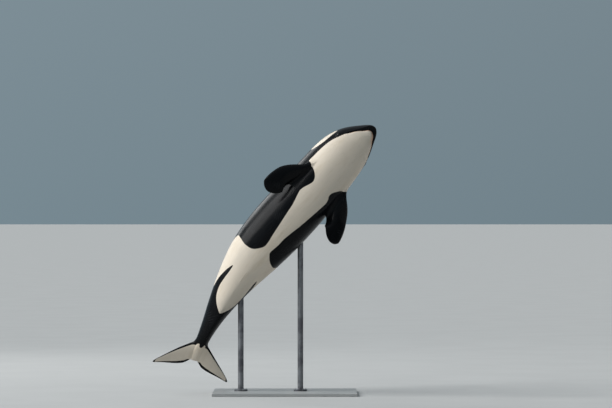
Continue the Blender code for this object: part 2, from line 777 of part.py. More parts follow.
def add_object(name, mesh, collection, material=None):
    """An object for a mesh, in a collection."""
    item = bpy.data.objects.new(name, mesh)
    if material:
        mesh.materials.clear()
        mesh.materials.append(material)
    collection.objects.link(item)
    return item


def hide_tool(item):
    """A cutter or guide shows as wire and is not part of the model."""
    item.hide_render = True
    item.display_type = "WIRE"


def add_boolean(item, tool, operation, name):
    """A live Boolean with another object."""
    modifier = item.modifiers.new(name, "BOOLEAN")
    modifier.operation = operation
    modifier.solver = "EXACT"
    modifier.object = tool
    return modifier


def surface_frame(station, degrees, side):
    """World place, outward normal and aft direction on the plain body."""
    angle = math.radians(degrees)
    here = plain_body(numpy.array(station), numpy.array(angle))
    behind = plain_body(numpy.array(station + SMALL_STEP), numpy.array(angle))
    normal = body_normal(numpy.array(station), numpy.array(angle))
    place = pose(mirrored(here, side))
    aft = Vector(pose(mirrored(behind, side)) - place).normalized()
    out = Vector(pose(mirrored(here + normal * SMALL_STEP, side)) - place).normalized()
    aft = (aft - out * aft.dot(out)).normalized()
    return Vector(place), out, aft


def aligned(place, out, aft):
    """A matrix whose Z looks out of the body and whose X looks aft."""
    across = out.cross(aft)
    rotation = Matrix((aft, across, out)).transposed()
    return Matrix.Translation(place) @ rotation.to_4x4()


def ball_mesh(name, radius):
    """A closed sphere."""
    mesh = bpy.data.meshes.new(name)
    shape = bmesh.new()
    around, along = BALL_CELLS
    bmesh.ops.create_uvsphere(shape, u_segments=around, v_segments=along, radius=radius)
    shape.to_mesh(mesh)
    shape.free()
    mesh.shade_smooth()
    return mesh


def lid_mesh(name):
    """The raised rim of the two lids, an almond drawn out fore and aft."""
    mesh = bpy.data.meshes.new(name)
    shape = bmesh.new()
    around, tube = LID_CELLS
    rings = []
    for i in range(around):
        turn = 2.0 * math.pi * i / around
        pinch = 1.0 - LID_PINCH * abs(math.cos(turn)) ** 3
        middle = Vector((LID_LENGTH * math.cos(turn), LID_HEIGHT * math.sin(turn) * pinch, 0.0))
        outward = Vector((math.cos(turn) / LID_LENGTH, math.sin(turn) / LID_HEIGHT, 0.0)).normalized()
        ring = []
        for k in range(tube):
            roll = 2.0 * math.pi * k / tube
            swell = outward * math.cos(roll) + Vector((0.0, 0.0, math.sin(roll)))
            ring.append(shape.verts.new(middle + LID_THICKNESS * swell))
        rings.append(ring)
    for i in range(around):
        for k in range(tube):
            n, m = (i + 1) % around, (k + 1) % tube
            shape.faces.new((rings[i][k], rings[n][k], rings[n][m], rings[i][m]))
    bmesh.ops.recalc_face_normals(shape, faces=shape.faces)
    shape.to_mesh(mesh)
    shape.free()
    return mesh


def blowhole_cutter(collection):
    """A crescent across the top of the head, its horns pointing forward."""
    curve = bpy.data.curves.new("blowhole_line", "CURVE")
    curve.dimensions = "3D"
    curve.bevel_depth = BLOWHOLE_DEPTH
    curve.bevel_resolution = BLOWHOLE_ROUNDING
    curve.use_fill_caps = True
    line = curve.splines.new("POLY")
    line.points.add(BLOWHOLE_POINTS - 1)
    for k in range(BLOWHOLE_POINTS):
        turn = math.radians(BLOWHOLE_TURN) * (2.0 * k / (BLOWHOLE_POINTS - 1) - 1.0)
        across = BLOWHOLE_RADIUS * math.sin(turn)
        back = BLOWHOLE_AT * LENGTH - BLOWHOLE_RADIUS * (1.0 - math.cos(turn))
        width, keel = section(back / LENGTH)[3:]
        angle = math.pi - math.asin(min((abs(across) / width) ** (1.0 / keel), 1.0))
        point = plain_body(back / LENGTH, numpy.array(angle))
        point[1] = across
        line.points[k].co = (*pose(point), 1.0)
    guide = bpy.data.objects.new("blowhole_line", curve)
    collection.objects.link(guide)
    evaluated = guide.evaluated_get(bpy.context.evaluated_depsgraph_get())
    mesh = bpy.data.meshes.new_from_object(evaluated)
    shape = bmesh.new()
    shape.from_mesh(mesh)
    bmesh.ops.remove_doubles(shape, verts=shape.verts, dist=JOIN)
    bmesh.ops.recalc_face_normals(shape, faces=shape.faces)
    shape.to_mesh(mesh)
    shape.free()
    cutter = add_object("blowhole_cutter", mesh, collection)
    bpy.data.objects.remove(guide)
    hide_tool(cutter)
    return cutter


def add_eyes(model, tools, head, material):
    """An eyeball in a socket on each side, between raised lids."""
    for name, side in (("left", 1.0), ("right", -1.0)):
        place, out, aft = surface_frame(EYE_STATION, EYE_ANGLE, side)
        seat = aligned(place - out * EYE_SUNK, out, aft)
        rim = add_object("lid_rim_" + name, lid_mesh("lid_rim_" + name), tools)
        rim.matrix_world = aligned(place + out * LID_RAISE, out, aft)
        socket = add_object("socket_" + name, ball_mesh("socket_" + name, EYE_RADIUS + GAP), tools)
        socket.matrix_world = seat
        for tool, operation in ((rim, "UNION"), (socket, "DIFFERENCE")):
            hide_tool(tool)
            add_boolean(head, tool, operation, tool.name)
        eye = add_object("eye_" + name, ball_mesh("eye_" + name, EYE_RADIUS), model, material)
        eye.matrix_world = seat


def first_hit(item, x, y):
    """Height at which an upright line first meets an object's own mesh from below."""
    hit = item.ray_cast(Vector((x, y, 0.0)), Vector((0.0, 0.0, 1.0)))
    if not hit[0]:
        raise RuntimeError("no body above the rod at %.2f, %.2f" % (x, y))
    return hit[1].z


def add_rod(name, x, carried, model, tools, material):
    """An upright rod on a round foot, its top cut to the body that it carries."""
    foot = BASE_SIZE[2] + GAP
    shoulder = foot + ROD_FOOT_HEIGHT
    top = first_hit(carried, x, 0.0) + ROD_SUNK
    outline = ((0.0, top), (ROD_RADIUS, top), (ROD_RADIUS, shoulder + ROD_FOOT_FILLET),
               (ROD_RADIUS + ROD_FOOT_FILLET, shoulder), (ROD_FOOT_RADIUS, shoulder),
               (ROD_FOOT_RADIUS, foot), (0.0, foot))
    mesh = bpy.data.meshes.new(name)
    edges = [(k, k + 1) for k in range(len(outline) - 1)]
    mesh.from_pydata([(r, 0.0, z) for r, z in outline], edges, [])
    rod = add_object(name, mesh, model, material)
    rod.location = (x, 0.0, 0.0)
    screw = rod.modifiers.new("turn", "SCREW")
    screw.steps = ROD_STEPS
    screw.render_steps = ROD_STEPS
    screw.use_merge_vertices = True
    screw.merge_threshold = JOIN
    copy = add_object("rest_for_" + name, carried.data.copy(), tools)
    copy.location = (0.0, 0.0, -ROD_TOP_GAP)
    hide_tool(copy)
    add_boolean(rod, copy, "DIFFERENCE", "cut to the body")
    return rod


def add_base(model, material):
    """A flat slab with softened edges."""
    bpy.ops.mesh.primitive_cube_add(size=1.0, location=(0.0, 0.0, BASE_SIZE[2] / 2.0))
    base = bpy.context.active_object
    base.name = "stand_base"
    base.data.name = "stand_base"
    base.data.transform(Matrix.Diagonal((*BASE_SIZE, 1.0)))
    for collection in list(base.users_collection):
        collection.objects.unlink(base)
    model.objects.link(base)
    base.data.materials.append(material)
    edge = base.modifiers.new("soft edges", "BEVEL")
    edge.width = BASE_EDGE
    edge.segments = 3
    return base


def build_whale(model, tools):
    """All the nodes of the whale."""
    stations, shares, mouth, points, normals = straight_body()
    left = pose(points)
    right = pose(mirrored(points, -1.0))
    aft = along_spine(numpy.array(stations), SPINE[2])
    up = along_spine(numpy.array(stations), SPINE[4])
    row = {name: break_row(stations, at) for name, at in ROW_NAMES}
    column = {name: break_row(shares, at) for name, at in COLUMN_NAMES}
    top = len(shares) - 1

    black = make_material("black_skin", BLACK_SKIN)
    white = make_material("white_skin", WHITE_SKIN)
    dark = make_material("eye", DARK_EYE)

    def add_fin(name, side, shape, first, rows, band, fillet_rows, material):
        """A fin's own node; the faces of its stump are returned."""
        rings, cells = grow_fin(points, normals, rows, band, side, shape, first, fillet_rows)
        stump, fin = split_fin(rings, cells, fillet_rows)
        add_object(name, make_mesh(name, fin), model, material)
        return stump

    flipper_rows = (row["flipper_front"], row["flipper_rear"])
    fluke_rows = (row["fluke_front"], row["fluke_rear"])
    dorsal_rows = (row["dorsal_front"], row["dorsal_rear"])
    flipper_band = [(j, 1.0) for j in range(column["flipper_low"], column["flipper_high"] + 1)]
    fluke_band = [(j, 1.0) for j in range(column["fluke_low"], column["fluke_high"] + 1)]
    reach = top - column["dorsal"]
    dorsal_band = [(top - k, 1.0) for k in range(reach, 0, -1)] + [(top, 1.0)]
    dorsal_band += [(top - k, -1.0) for k in range(1, reach + 1)]
    chest_stumps = []
    tail_stumps = []
    for name, side, lie in (("left", 1.0, FLIPPER_LEFT), ("right", -1.0, FLIPPER_RIGHT)):
        paddle, first = flipper(*lie)
        chest_stumps += add_fin("flipper_" + name, side, paddle, first, flipper_rows, flipper_band,
                                FLIPPER_FILLET_ROWS, black)
        tail_stumps += add_fin("fluke_" + name, side, fluke, FLUKE_FIRST, fluke_rows, fluke_band,
                               FLUKE_FILLET_ROWS, white)
    dorsal_stump = add_fin("dorsal_fin", 1.0, dorsal_fin, DORSAL_FIRST, dorsal_rows, dorsal_band,
                           FLIPPER_FILLET_ROWS, black)

    head = head_node(left, right, row["jaw"], row["neck"], mouth, aft, up)
    head = add_object("head", make_mesh("head", head), model, black)
    jaw = jaw_points(stations, points, row["jaw"])
    jaw = jaw_node(pose(jaw), pose(mirrored(jaw, -1.0)), mouth, aft[row["jaw"]],
                   up[OVERBITE_ROW:row["jaw"] + 1])
    add_object("lower_jaw", make_mesh("lower_jaw", jaw), model, white)
    chest = trunk_node(left, right, (row["neck"], row["waist"]), aft,
                       (*flipper_rows, column["flipper_low"], column["flipper_high"]), chest_stumps)
    add_object("chest", make_mesh("chest", chest), model, white)
    abdomen = trunk_node(left, right, (row["waist"], row["vent"]), aft,
                         (*dorsal_rows, column["dorsal"], top), dorsal_stump)
    abdomen = add_object("abdomen", make_mesh("abdomen", abdomen), model, black)
    tail = trunk_node(left, right, (row["vent"], len(stations) - 1), aft,
                      (*fluke_rows, column["fluke_low"], column["fluke_high"]), tail_stumps,
                      closed_end=False)
    tail = add_object("tail_stock", make_mesh("tail_stock", tail), model, white)
    add_eyes(model, tools, head, dark)
    add_boolean(head, blowhole_cutter(tools), "DIFFERENCE", "blowhole")
    return abdomen, tail


def build():
    """The whale and its stand."""
    clear_scene()
    model = new_collection("orca")
    tools = new_collection("cutters")
    abdomen, tail = build_whale(model, tools)
    bpy.context.view_layer.update()
    steel = make_material("stand_steel", STEEL)
    board = make_material("stand_board", BOARD)
    add_base(model, board)
    add_rod("stand_rod_front", ROD_FRONT_X, abdomen, model, tools, steel)
    add_rod("stand_rod_rear", ROD_REAR_X, tail, model, tools, steel)


build()
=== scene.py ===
# The looks of a life-size orca in mid leap, held over a flat base by two rods.
# Metres, +Z up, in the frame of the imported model.
#
# The skin is first laid out on the straight whale (x aft, y to its left, z towards its back)
# and then bent along the spine into the leap, as the solids are.

import math

import bmesh
import bpy
import numpy as np
from mathutils import Matrix, Vector, noise


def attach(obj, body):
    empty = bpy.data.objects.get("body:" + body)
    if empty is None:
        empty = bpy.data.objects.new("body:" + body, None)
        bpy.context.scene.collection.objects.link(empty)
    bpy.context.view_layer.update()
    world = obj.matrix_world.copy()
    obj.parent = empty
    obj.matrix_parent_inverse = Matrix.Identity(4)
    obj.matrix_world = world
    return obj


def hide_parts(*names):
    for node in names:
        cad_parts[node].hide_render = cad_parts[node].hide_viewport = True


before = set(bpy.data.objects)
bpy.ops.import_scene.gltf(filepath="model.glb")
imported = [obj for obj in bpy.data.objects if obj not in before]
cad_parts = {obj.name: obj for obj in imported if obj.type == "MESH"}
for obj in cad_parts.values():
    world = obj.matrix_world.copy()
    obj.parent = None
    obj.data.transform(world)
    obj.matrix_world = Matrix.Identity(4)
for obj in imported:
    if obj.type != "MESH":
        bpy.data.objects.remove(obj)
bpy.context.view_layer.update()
print("frame loaded:", len(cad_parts), "nodes")

# the straight whale, share by share of its length (the same sizes as the solids)

whale = {
    "length": 6.0,
    "snoutAt": (1.757, -0.135, 5.186),
    "roll": 15.0,
    "headRoll": 7.0,            # how much further the head is turned, between the next two stations
    "headRollFade": (0.02, 0.30),
    "back": ((0.0, 0.0), (0.01, 0.0197), (0.04, 0.0400), (0.10, 0.0655), (0.20, 0.0882), (0.35, 0.1010),
             (0.50, 0.0960), (0.65, 0.0730), (0.80, 0.0500), (0.90, 0.0280), (0.95, 0.0120), (1.0, 0.0020)),
    "belly": ((0.0, 0.0), (0.01, 0.0176), (0.04, 0.0353), (0.10, 0.0587), (0.20, 0.0820), (0.35, 0.0970),
              (0.50, 0.0940), (0.65, 0.0720), (0.80, 0.0500), (0.90, 0.0280), (0.95, 0.0120), (1.0, 0.0020)),
    "halfWidth": ((0.0, 0.0), (0.01, 0.0183), (0.04, 0.0387), (0.10, 0.0709), (0.20, 0.0867),
                  (0.35, 0.0925), (0.50, 0.0910), (0.60, 0.0785), (0.70, 0.0570), (0.80, 0.0360),
                  (0.90, 0.0215), (0.96, 0.0170), (1.0, 0.0060)),
    "keel": ((0.0, 1.0), (0.10, 0.92), (0.35, 0.94), (0.60, 1.05), (0.75, 1.30), (0.88, 1.45),
             (0.96, 1.10), (1.0, 1.0)),
    "widestLevel": 0.47,
    "tailEnd": 0.987,
    "dive": ((0.0, 37.8), (0.1, 40.4), (0.2, 48.8), (0.3, 48.5), (0.5, 48.5), (0.7, 57.5), (1.0, 68.0)),
    "arch": ((0.0, 10.0), (0.15, 4.0), (0.35, 0.0), (0.55, 1.0), (0.75, 9.0), (1.0, 22.0)),
    "headShorter": 0.028,       # how much shorter the spine is than the length, ahead of the next station
    "headShorterTo": 0.20,
}
length = whale["length"]

mouth = {
    "corner": 0.088,
    "fade": 0.010,
    # the solids' line, made smoother between its points
    "angle": ((0.0, 85.0), (0.008, 73.6), (0.02, 62.0), (0.035, 58.8), (0.05, 58.6), (0.08, 60.0),
              (0.10, 60.4), (0.12, 60.1), (0.15, 58.86), (0.20, 56.25), (1.0, 56.25)),
    "lipFrom": 0.06,            # how far behind the snout the lip is fully there
    "lipReach": 0.016,
    "lipDepth": 0.014,
    "overbite": 0.016,      # station of the lower jaw's tip
    "overbiteFade": 0.36,
    "whiteBelow": 0.003,    # the jaw's white begins this far below the mouth and behind the tip
    "whiteFade": 0.016,
    "slitFade": 0.012,
    "slitHeight": 0.0015,
    "slitDepth": 0.012,
    "slitFrom": 0.06,           # how far behind the lower jaw's tip the slit is fully open
    "palateSteps": (0.2, 0.4, 0.6, 0.8),
    "rimHeight": 0.0035,        # soft rim above the upper lip
    "rimAt": 0.034,
    "rimReach": 0.020,
    # the lip's warm colour reaches further on the left of the tip, and less far along the right:
    # by how much, and the stations over which that changes
    "warmLeft": (0.62, 0.02, 0.080),
    "warmRight": (1.0, 0.005, 0.035),
}

# rows along the body (station, cells up to it) and columns from belly to back (share, cells up to it)
grid = {
    "rows": ((0.06, 24), (0.10, 24), (0.125, 26), (0.155, 14), (0.205, 17), (0.332, 42), (0.352, 6),
             (0.525, 42), (0.62, 23), (0.905, 52), (0.985, 26)),
    "snoutRows": 12,
    "columns": ((0.25, 24), (0.3125, 7), (0.375, 7), (0.6875, 32), (0.9375, 26), (1.0, 8)),
    "lipOffsets": (0.0012, 0.003, 0.006, 0.010, 0.016, 0.024),
    "backStep": 0.008,
    "backCount": 8,
    "bellyOffsets": (0.0, 0.003, 0.007, 0.012, 0.020),
    "capRows": 5,
    "fullRadius": 0.3,          # where the body is slimmer, the offsets shrink with it
    "crownPower": 1.25,
    # stations over which the columns of the head end, and those of the belly begin and end
    "headTo": (0.125, 0.20),
    "bellyFrom": (0.40, 0.44),
    "bellyTo": (0.72, 0.80),
}


def smoothCurve(points):
    x, y = np.array(points, dtype=float).T
    step = np.diff(x)
    count = len(x)
    matrix = np.eye(count)
    right = np.zeros(count)
    for i in range(1, count - 1):
        matrix[i, i - 1:i + 2] = step[i - 1], 2.0 * (step[i - 1] + step[i]), step[i]
        right[i] = 6.0 * ((y[i + 1] - y[i]) / step[i] - (y[i] - y[i - 1]) / step[i - 1])
    bend = np.linalg.solve(matrix, right)

    def value(at):
        at = np.clip(at, x[0], x[-1])
        k = np.clip(np.searchsorted(x, at, side="right") - 1, 0, count - 2)
        h = step[k]
        a = (x[k + 1] - at) / h
        b = 1.0 - a
        return a * y[k] + b * y[k + 1] + ((a ** 3 - a) * bend[k] + (b ** 3 - b) * bend[k + 1]) * h * h / 6.0

    return value


def bluntCurve(points):     # spaced by the square root, which rounds off the snout
    curve = smoothCurve([(math.sqrt(station), value) for station, value in points])
    return lambda station: curve(np.sqrt(np.maximum(station, 0.0)))


backLine = bluntCurve(whale["back"])
bellyLine = bluntCurve(whale["belly"])
halfWidth = bluntCurve(whale["halfWidth"])
keelPower = smoothCurve(whale["keel"])
diveAngle = smoothCurve(whale["dive"])
archAngle = smoothCurve(whale["arch"])
mouthAngle = smoothCurve(mouth["angle"])


def fade(value, start, end):    # 1 before start, 0 after end
    t = np.clip((value - start) / (end - start), 0.0, 1.0)
    return 1.0 - t * t * (3.0 - 2.0 * t)


def hump(away, reach):      # 1 in the middle, next to nothing beyond twice the reach
    return np.exp(-(away / reach) ** 2)


def unit(vector):
    return vector / np.linalg.norm(vector)


def section(station):
    top = backLine(station) * length
    bottom = -bellyLine(station) * length
    level = bottom + whale["widestLevel"] * (top - bottom)
    return level, top - level, level - bottom, halfWidth(station) * length, keelPower(station)


def meanRadius(station):
    height, depth, width = section(station)[1:4]
    return np.sqrt(np.maximum(width * 0.5 * (height + depth), 1e-12))


def plainBody(station, angle):
    level, height, depth, width, keel = section(station)
    across = width * np.maximum(np.sin(angle), 0.0) ** keel
    up = level - np.where(angle < math.pi / 2, depth, height) * np.cos(angle)
    return np.stack([station * length, across, up], axis=-1)


def bodyNormal(station, angle):
    step = 1e-4
    aft = plainBody(station + step, angle) - plainBody(np.maximum(station - step, 0.0), angle)
    around = plainBody(station, angle + step) - plainBody(station, angle - step)
    normal = np.cross(around, aft)
    normal /= np.maximum(np.linalg.norm(normal, axis=-1, keepdims=True), 1e-12)
    return np.where(np.asarray(station)[..., None] < 1e-6, np.array([-1.0, 0.0, 0.0]), normal)


# small forms on the skin: lips, navel, vent, blowhole, folds behind the flippers

forms = {
    "navel": {"at": 0.462, "radius": 0.018, "depth": 0.007, "rim": (0.55, 1.35, 0.5)},  # height, place, reach
    "slits": (  # start, end, distance from the midline, half width, depth
        (0.628, 0.668, 0.0, 0.0065, 0.010),
        (0.641, 0.652, 0.045, 0.0060, 0.005),
        (0.705, 0.712, 0.0, 0.0080, 0.006),
    ),
    "slitLip": 0.0045,
    "blowhole": {"at": 0.118, "radius": 0.055, "turn": 65.0, "reach": 0.0075, "depth": 0.010,
                 "rim": (0.35, 0.022, 0.014)},
    "eyeHollow": {"reach": 0.030, "depth": 0.012},
    "axilla": {"at": (0.346, 47.0), "reach": 0.13, "wave": 0.046, "height": 0.0016},
    "unevenness": 0.0022,
    "lumps": ((2.2, 1.0), (5.1, 0.5)),      # how fine, how strong
}


eyes = {
    "station": 0.106, "angle": 73.0, "radius": 0.026, "sunk": 0.019, "tilt": -14.0,
    "lidLength": 0.0235, "lidHeight": 0.0150, "pinch": 0.22, "around": 72, "lidRings": 52,
    "upperReach": 0.25, "upperHeight": 0.35, "upperWithin": 0.03,   # the upper lid is wider and taller
    "cornea": (0.035, 24.0),        # share it stands out, degrees it spreads over
    # distance out from the lid's edge, height over the hide
    "lidProfile": ((-0.001, -0.009), (-0.0015, -0.002), (0.0005, 0.0030), (0.005, 0.0046), (0.010, 0.0037),
                   (0.015, 0.0027), (0.021, 0.0021), (0.030, 0.0011), (0.040, 0.0005), (0.050, 0.0001),
                   (0.057, -0.0002), (0.063, -0.0006), (0.0665, -0.0012), (0.068, -0.0024),
                   (0.0665, -0.0045), (0.045, -0.0100), (0.010, -0.0150), (-0.001, -0.012)),
}


def blowholeLine():
    spec = forms["blowhole"]
    turn = np.radians(np.linspace(-spec["turn"], spec["turn"], 25))
    back = spec["at"] * length - spec["radius"] * (1.0 - np.cos(turn))
    return np.stack([back, spec["radius"] * np.sin(turn)], axis=-1)


def formHeight(station, angle):     # how far the skin stands out from the plain body
    radius = meanRadius(station)
    x = station * length

    def awayFrom(place, degrees):
        return np.hypot(x - place * length, (angle - math.radians(degrees)) * radius)

    fromMouth = (angle - np.radians(mouthAngle(station))) * radius
    opened = fade(station, mouth["corner"] - mouth["fade"], mouth["corner"])
    opened = opened * (1.0 - fade(x, 0.0, mouth["lipFrom"]))
    rise = -mouth["lipDepth"] * hump(fromMouth, mouth["lipReach"]) * opened
    rise += mouth["rimHeight"] * hump(fromMouth - mouth["rimAt"], mouth["rimReach"]) * opened
    spec = forms["navel"]
    high, out, wide = spec["rim"]
    away = awayFrom(spec["at"], 0.0) / spec["radius"]
    rise += spec["depth"] * (high * hump(away - out, wide) - hump(away, 0.75))
    for start, end, aside, half, depth in forms["slits"]:
        along = np.maximum(np.maximum(start * length - x, x - end * length), 0.0)
        away = np.hypot(along, angle * radius - aside)
        rise += forms["slitLip"] * hump(away - 2.2 * half, 1.3 * half) * np.exp(-along / 0.03)
        rise -= depth * hump(away, half)
    spec = forms["blowhole"]
    across = (math.pi - angle) * radius
    away = np.min([np.hypot(x - back, across - abs(side)) for back, side in blowholeLine()], axis=0)
    high, out, wide = spec["rim"]
    rise -= spec["depth"] * hump(away, spec["reach"])
    rise += high * spec["depth"] * hump(away - out, wide)
    spec = forms["eyeHollow"]
    rise -= spec["depth"] * hump(awayFrom(eyes["station"], eyes["angle"]), spec["reach"])
    spec = forms["axilla"]
    away = awayFrom(*spec["at"])
    return rise + spec["height"] * np.cos(2.0 * math.pi * away / spec["wave"]) * hump(away, spec["reach"])


def bodySurface(station, angle):
    return plainBody(station, angle) + bodyNormal(station, angle) * formHeight(station, angle)[..., None]


# where rows and columns run

def marksAlong(runs, crowded=0):    # up to the end of each run; the first few runs crowd at their start
    marks = [0.0]
    for k, (end, cells) in enumerate(runs):
        start = marks[-1]
        power = 2.0 if k < crowded else 1.0
        marks += [start + (end - start) * (i / cells) ** power for i in range(1, cells + 1)]
    return np.array(marks)


stations = marksAlong(((mouth["overbite"], grid["snoutRows"]), *grid["rows"]), crowded=2)
shares = marksAlong(grid["columns"])
mouthShare, lowShare = 0.3125, 0.25     # the columns along the mouth and below the flippers
mouthColumn = int(np.argmin(abs(shares - mouthShare)))
lowColumn = int(np.argmin(abs(shares - lowShare)))


def columnAngles(station):      # angles of all columns at each station, one row for each station
    station = np.asarray(station, dtype=float)
    radius = meanRadius(station)[:, None]
    line = np.radians(mouthAngle(station))[:, None]
    sway = line - math.pi * mouthShare
    weight = np.where(shares < mouthShare, shares / mouthShare, (1.0 - shares) / (1.0 - mouthShare))[None, :]
    regular = math.pi * shares[None, :] + sway * weight
    # on the head the columns crowd at the mouth and at the blowhole
    perMetre = np.minimum(radius / grid["fullRadius"], 1.0) / radius
    near = np.array(grid["lipOffsets"])[None, :] * perMetre
    lowCount = mouthColumn - near.shape[1] + 1
    lower = np.concatenate([(line - near[:, -1:]) * np.linspace(0.0, 1.0, lowCount)[None, :],
                            (line - near[:, ::-1])[:, 1:], line], axis=1)
    crown = math.pi - grid["backStep"] * perMetre * np.arange(grid["backCount"], -1, -1)[None, :]
    inner = len(shares) - mouthColumn - 1 - near.shape[1] - grid["backCount"]
    t = np.linspace(0.0, 1.0, inner + 1)[None, 1:-1] ** grid["crownPower"]
    start = line + near[:, -1:]
    upper = np.concatenate([line + near, start + (crown[:, :1] - start) * t, crown], axis=1)
    head = np.concatenate([lower, upper], axis=1)
    # along the rear belly they crowd at the midline
    fixed = np.array(grid["bellyOffsets"])[None, :] / radius
    steps = lowColumn - fixed.shape[1] + 1
    t = np.linspace(0.0, 1.0, steps + 1)[None, 1:]
    belly = regular.copy()
    belly[:, :lowColumn + 1] = np.concatenate(
        [fixed, fixed[:, -1:] + (regular[:, lowColumn:lowColumn + 1] - fixed[:, -1:]) * t], axis=1)
    onHead = fade(station, *grid["headTo"])[:, None]
    onBelly = (fade(station, *grid["bellyTo"]) - fade(station, *grid["bellyFrom"]))[:, None]
    return regular + onHead * (head - regular) + onBelly * (belly - regular)


# the spine of the leap

def spineTable(steps=1200):
    station = np.linspace(0.0, 1.0, steps + 1)
    run = station + whale["headShorter"] / length * fade(station, 0.0, whale["headShorterTo"])
    dive = np.radians(diveAngle(run))
    arch = np.radians(archAngle(run))
    roll = np.radians(whale["roll"] + whale["headRoll"] * fade(station, *whale["headRollFade"]))[:, None]
    aft = np.stack([-np.cos(arch) * np.cos(dive), np.sin(arch), -np.cos(arch) * np.sin(dive)], axis=-1)
    side = np.stack([np.sin(dive), np.zeros_like(station), -np.cos(dive)], axis=-1)
    over = np.cross(-aft, side)
    left = side * np.cos(roll) + over * np.sin(roll)
    up = over * np.cos(roll) - side * np.sin(roll)
    middle = 0.5 * (aft[1:] + aft[:-1]) * length * np.diff(run)[:, None]
    place = np.array(whale["snoutAt"]) + np.vstack([np.zeros(3), np.cumsum(middle, axis=0)])
    return station, place, aft, left, up


spine = spineTable()


def alongSpine(station, table):
    return np.stack([np.interp(station, spine[0], table[:, k]) for k in range(3)], axis=-1)


def bendWhale(points):
    points = np.asarray(points, dtype=float)
    station = np.clip(points[..., 0] / length, 0.0, 1.0)
    place, aft, left, up = (alongSpine(station, table) for table in spine[1:])
    beyond = points[..., :1] - station[..., None] * length
    return place + aft * beyond + left * points[..., 1:2] + up * points[..., 2:3]


# markings, as outlines on the skin: station, then degrees from the belly's midline.
# Each vertex keeps its distance in metres from the outline, above 0 inside.

chinLine = ((-0.02, -40), (-0.02, 52), (0.05, 57), (0.086, 60.5))
rearLine = ((0.703, 79), (0.675, 64), (0.650, 52), (0.638, 44.5), (0.656, 45), (0.685, 51), (0.715, 57),
            (0.742, 55), (0.765, 42), (0.782, 22), (0.790, 0), (0.782, -22), (0.70, -40))
markings = {
    "bellyRight": (*chinLine, (0.111, 61.5), (0.122, 63.4),
                   (0.140, 65), (0.170, 65.3), (0.203, 65), (0.226, 64), (0.238, 59), (0.237, 50),
                   (0.237, 43), (0.244, 33.5), (0.256, 25.5), (0.271, 21.8), (0.288, 24.8), (0.306, 29.2),
                   (0.323, 30.8), (0.341, 28), (0.371, 22.8), (0.406, 19.4), (0.447, 15.2), (0.490, 11),
                   (0.514, 8.2), (0.532, 8.2), (0.550, 16), (0.563, 26.8), (0.566, 46), (0.561, 66),
                   (0.560, 84), (0.578, 98), (0.615, 108), (0.665, 112), (0.705, 109), (0.732, 102),
                   (0.728, 92), *rearLine),
    "bellyLeft": (*chinLine, (0.111, 62), (0.122, 64.5),
                  (0.140, 67), (0.170, 68), (0.200, 68), (0.219, 66), (0.230, 57), (0.236, 39),
                  (0.249, 28), (0.262, 21.8), (0.274, 21), (0.284, 25), (0.299, 27.3), (0.317, 25.4),
                  (0.340, 23.2), (0.371, 20.3), (0.409, 16.9), (0.445, 13.3), (0.476, 11), (0.500, 11.4),
                  (0.524, 10), (0.538, 9.9), (0.549, 16.5), (0.561, 27), (0.570, 50), (0.563, 68),
                  (0.562, 85), (0.580, 98), (0.615, 107.5), (0.665, 111), (0.705, 108), (0.732, 101),
                  (0.727, 91), *rearLine),
    "eyePatch": ((0.101, 97), (0.110, 90), (0.125, 84.5), (0.142, 81), (0.159, 80.5), (0.177, 85),
                 (0.193, 93), (0.198, 101), (0.187, 107), (0.160, 109), (0.130, 106), (0.109, 102)),
    "saddle": ((0.478, 200), (0.476, 172), (0.490, 158), (0.515, 150), (0.545, 138), (0.580, 124),
               (0.612, 121), (0.628, 131), (0.612, 146), (0.590, 160), (0.580, 172), (0.578, 200)),
    "tailUnder": ((0.925, -60), (0.930, 10), (0.918, 32), (0.925, 52), (1.03, 75), (1.03, -60)),
}


def mixBetween(first, second, start, end, at):
    return ((end - at) * first + (at - start) * second) / (end - start)


def smoothOutline(name, steps=8):   # a closed curve through the points, its knots spaced by root distance
    station, degrees = np.array(markings[name]).T
    radius = meanRadius(np.maximum(station, 0.002))
    points = np.stack([station * length, np.radians(degrees) * radius], axis=-1)
    ring = [np.roll(points, k, axis=0) for k in (1, 0, -1, -2)]
    knots = [np.zeros(len(points))]
    for a, b in zip(ring, ring[1:]):
        knots.append(knots[-1] + np.sqrt(np.linalg.norm(b - a, axis=-1)))
    knots = [k[:, None] for k in knots]
    pieces = []
    for i in range(steps):
        at = knots[1] + (knots[2] - knots[1]) * i / steps
        row = ring
        for reach in (1, 2):
            row = [mixBetween(row[j], row[j + 1], knots[j], knots[j + reach], at)
                   for j in range(len(row) - 1)]
        pieces.append(mixBetween(row[0], row[1], knots[1], knots[2], at))
    return np.stack(pieces, axis=1).reshape(-1, 2)


def outlineDistance(x, y, outline):
    nearest = np.full(x.shape, 9.0)
    inside = np.zeros(x.shape, dtype=bool)
    for (ax, ay), (bx, by) in zip(outline, np.roll(outline, -1, axis=0)):
        ex, ey = bx - ax, by - ay
        t = np.clip(((x - ax) * ex + (y - ay) * ey) / max(ex * ex + ey * ey, 1e-12), 0.0, 1.0)
        nearest = np.minimum(nearest, np.hypot(x - ax - t * ex, y - ay - t * ey))
        crosses = (ay > y) != (by > y)
        inside ^= crosses & (x < ax + (y - ay) * ex / (ey if abs(ey) > 1e-12 else 1e-12))
    return np.where(inside, nearest, -nearest)


outlines = {name: smoothOutline(name) for name in markings}


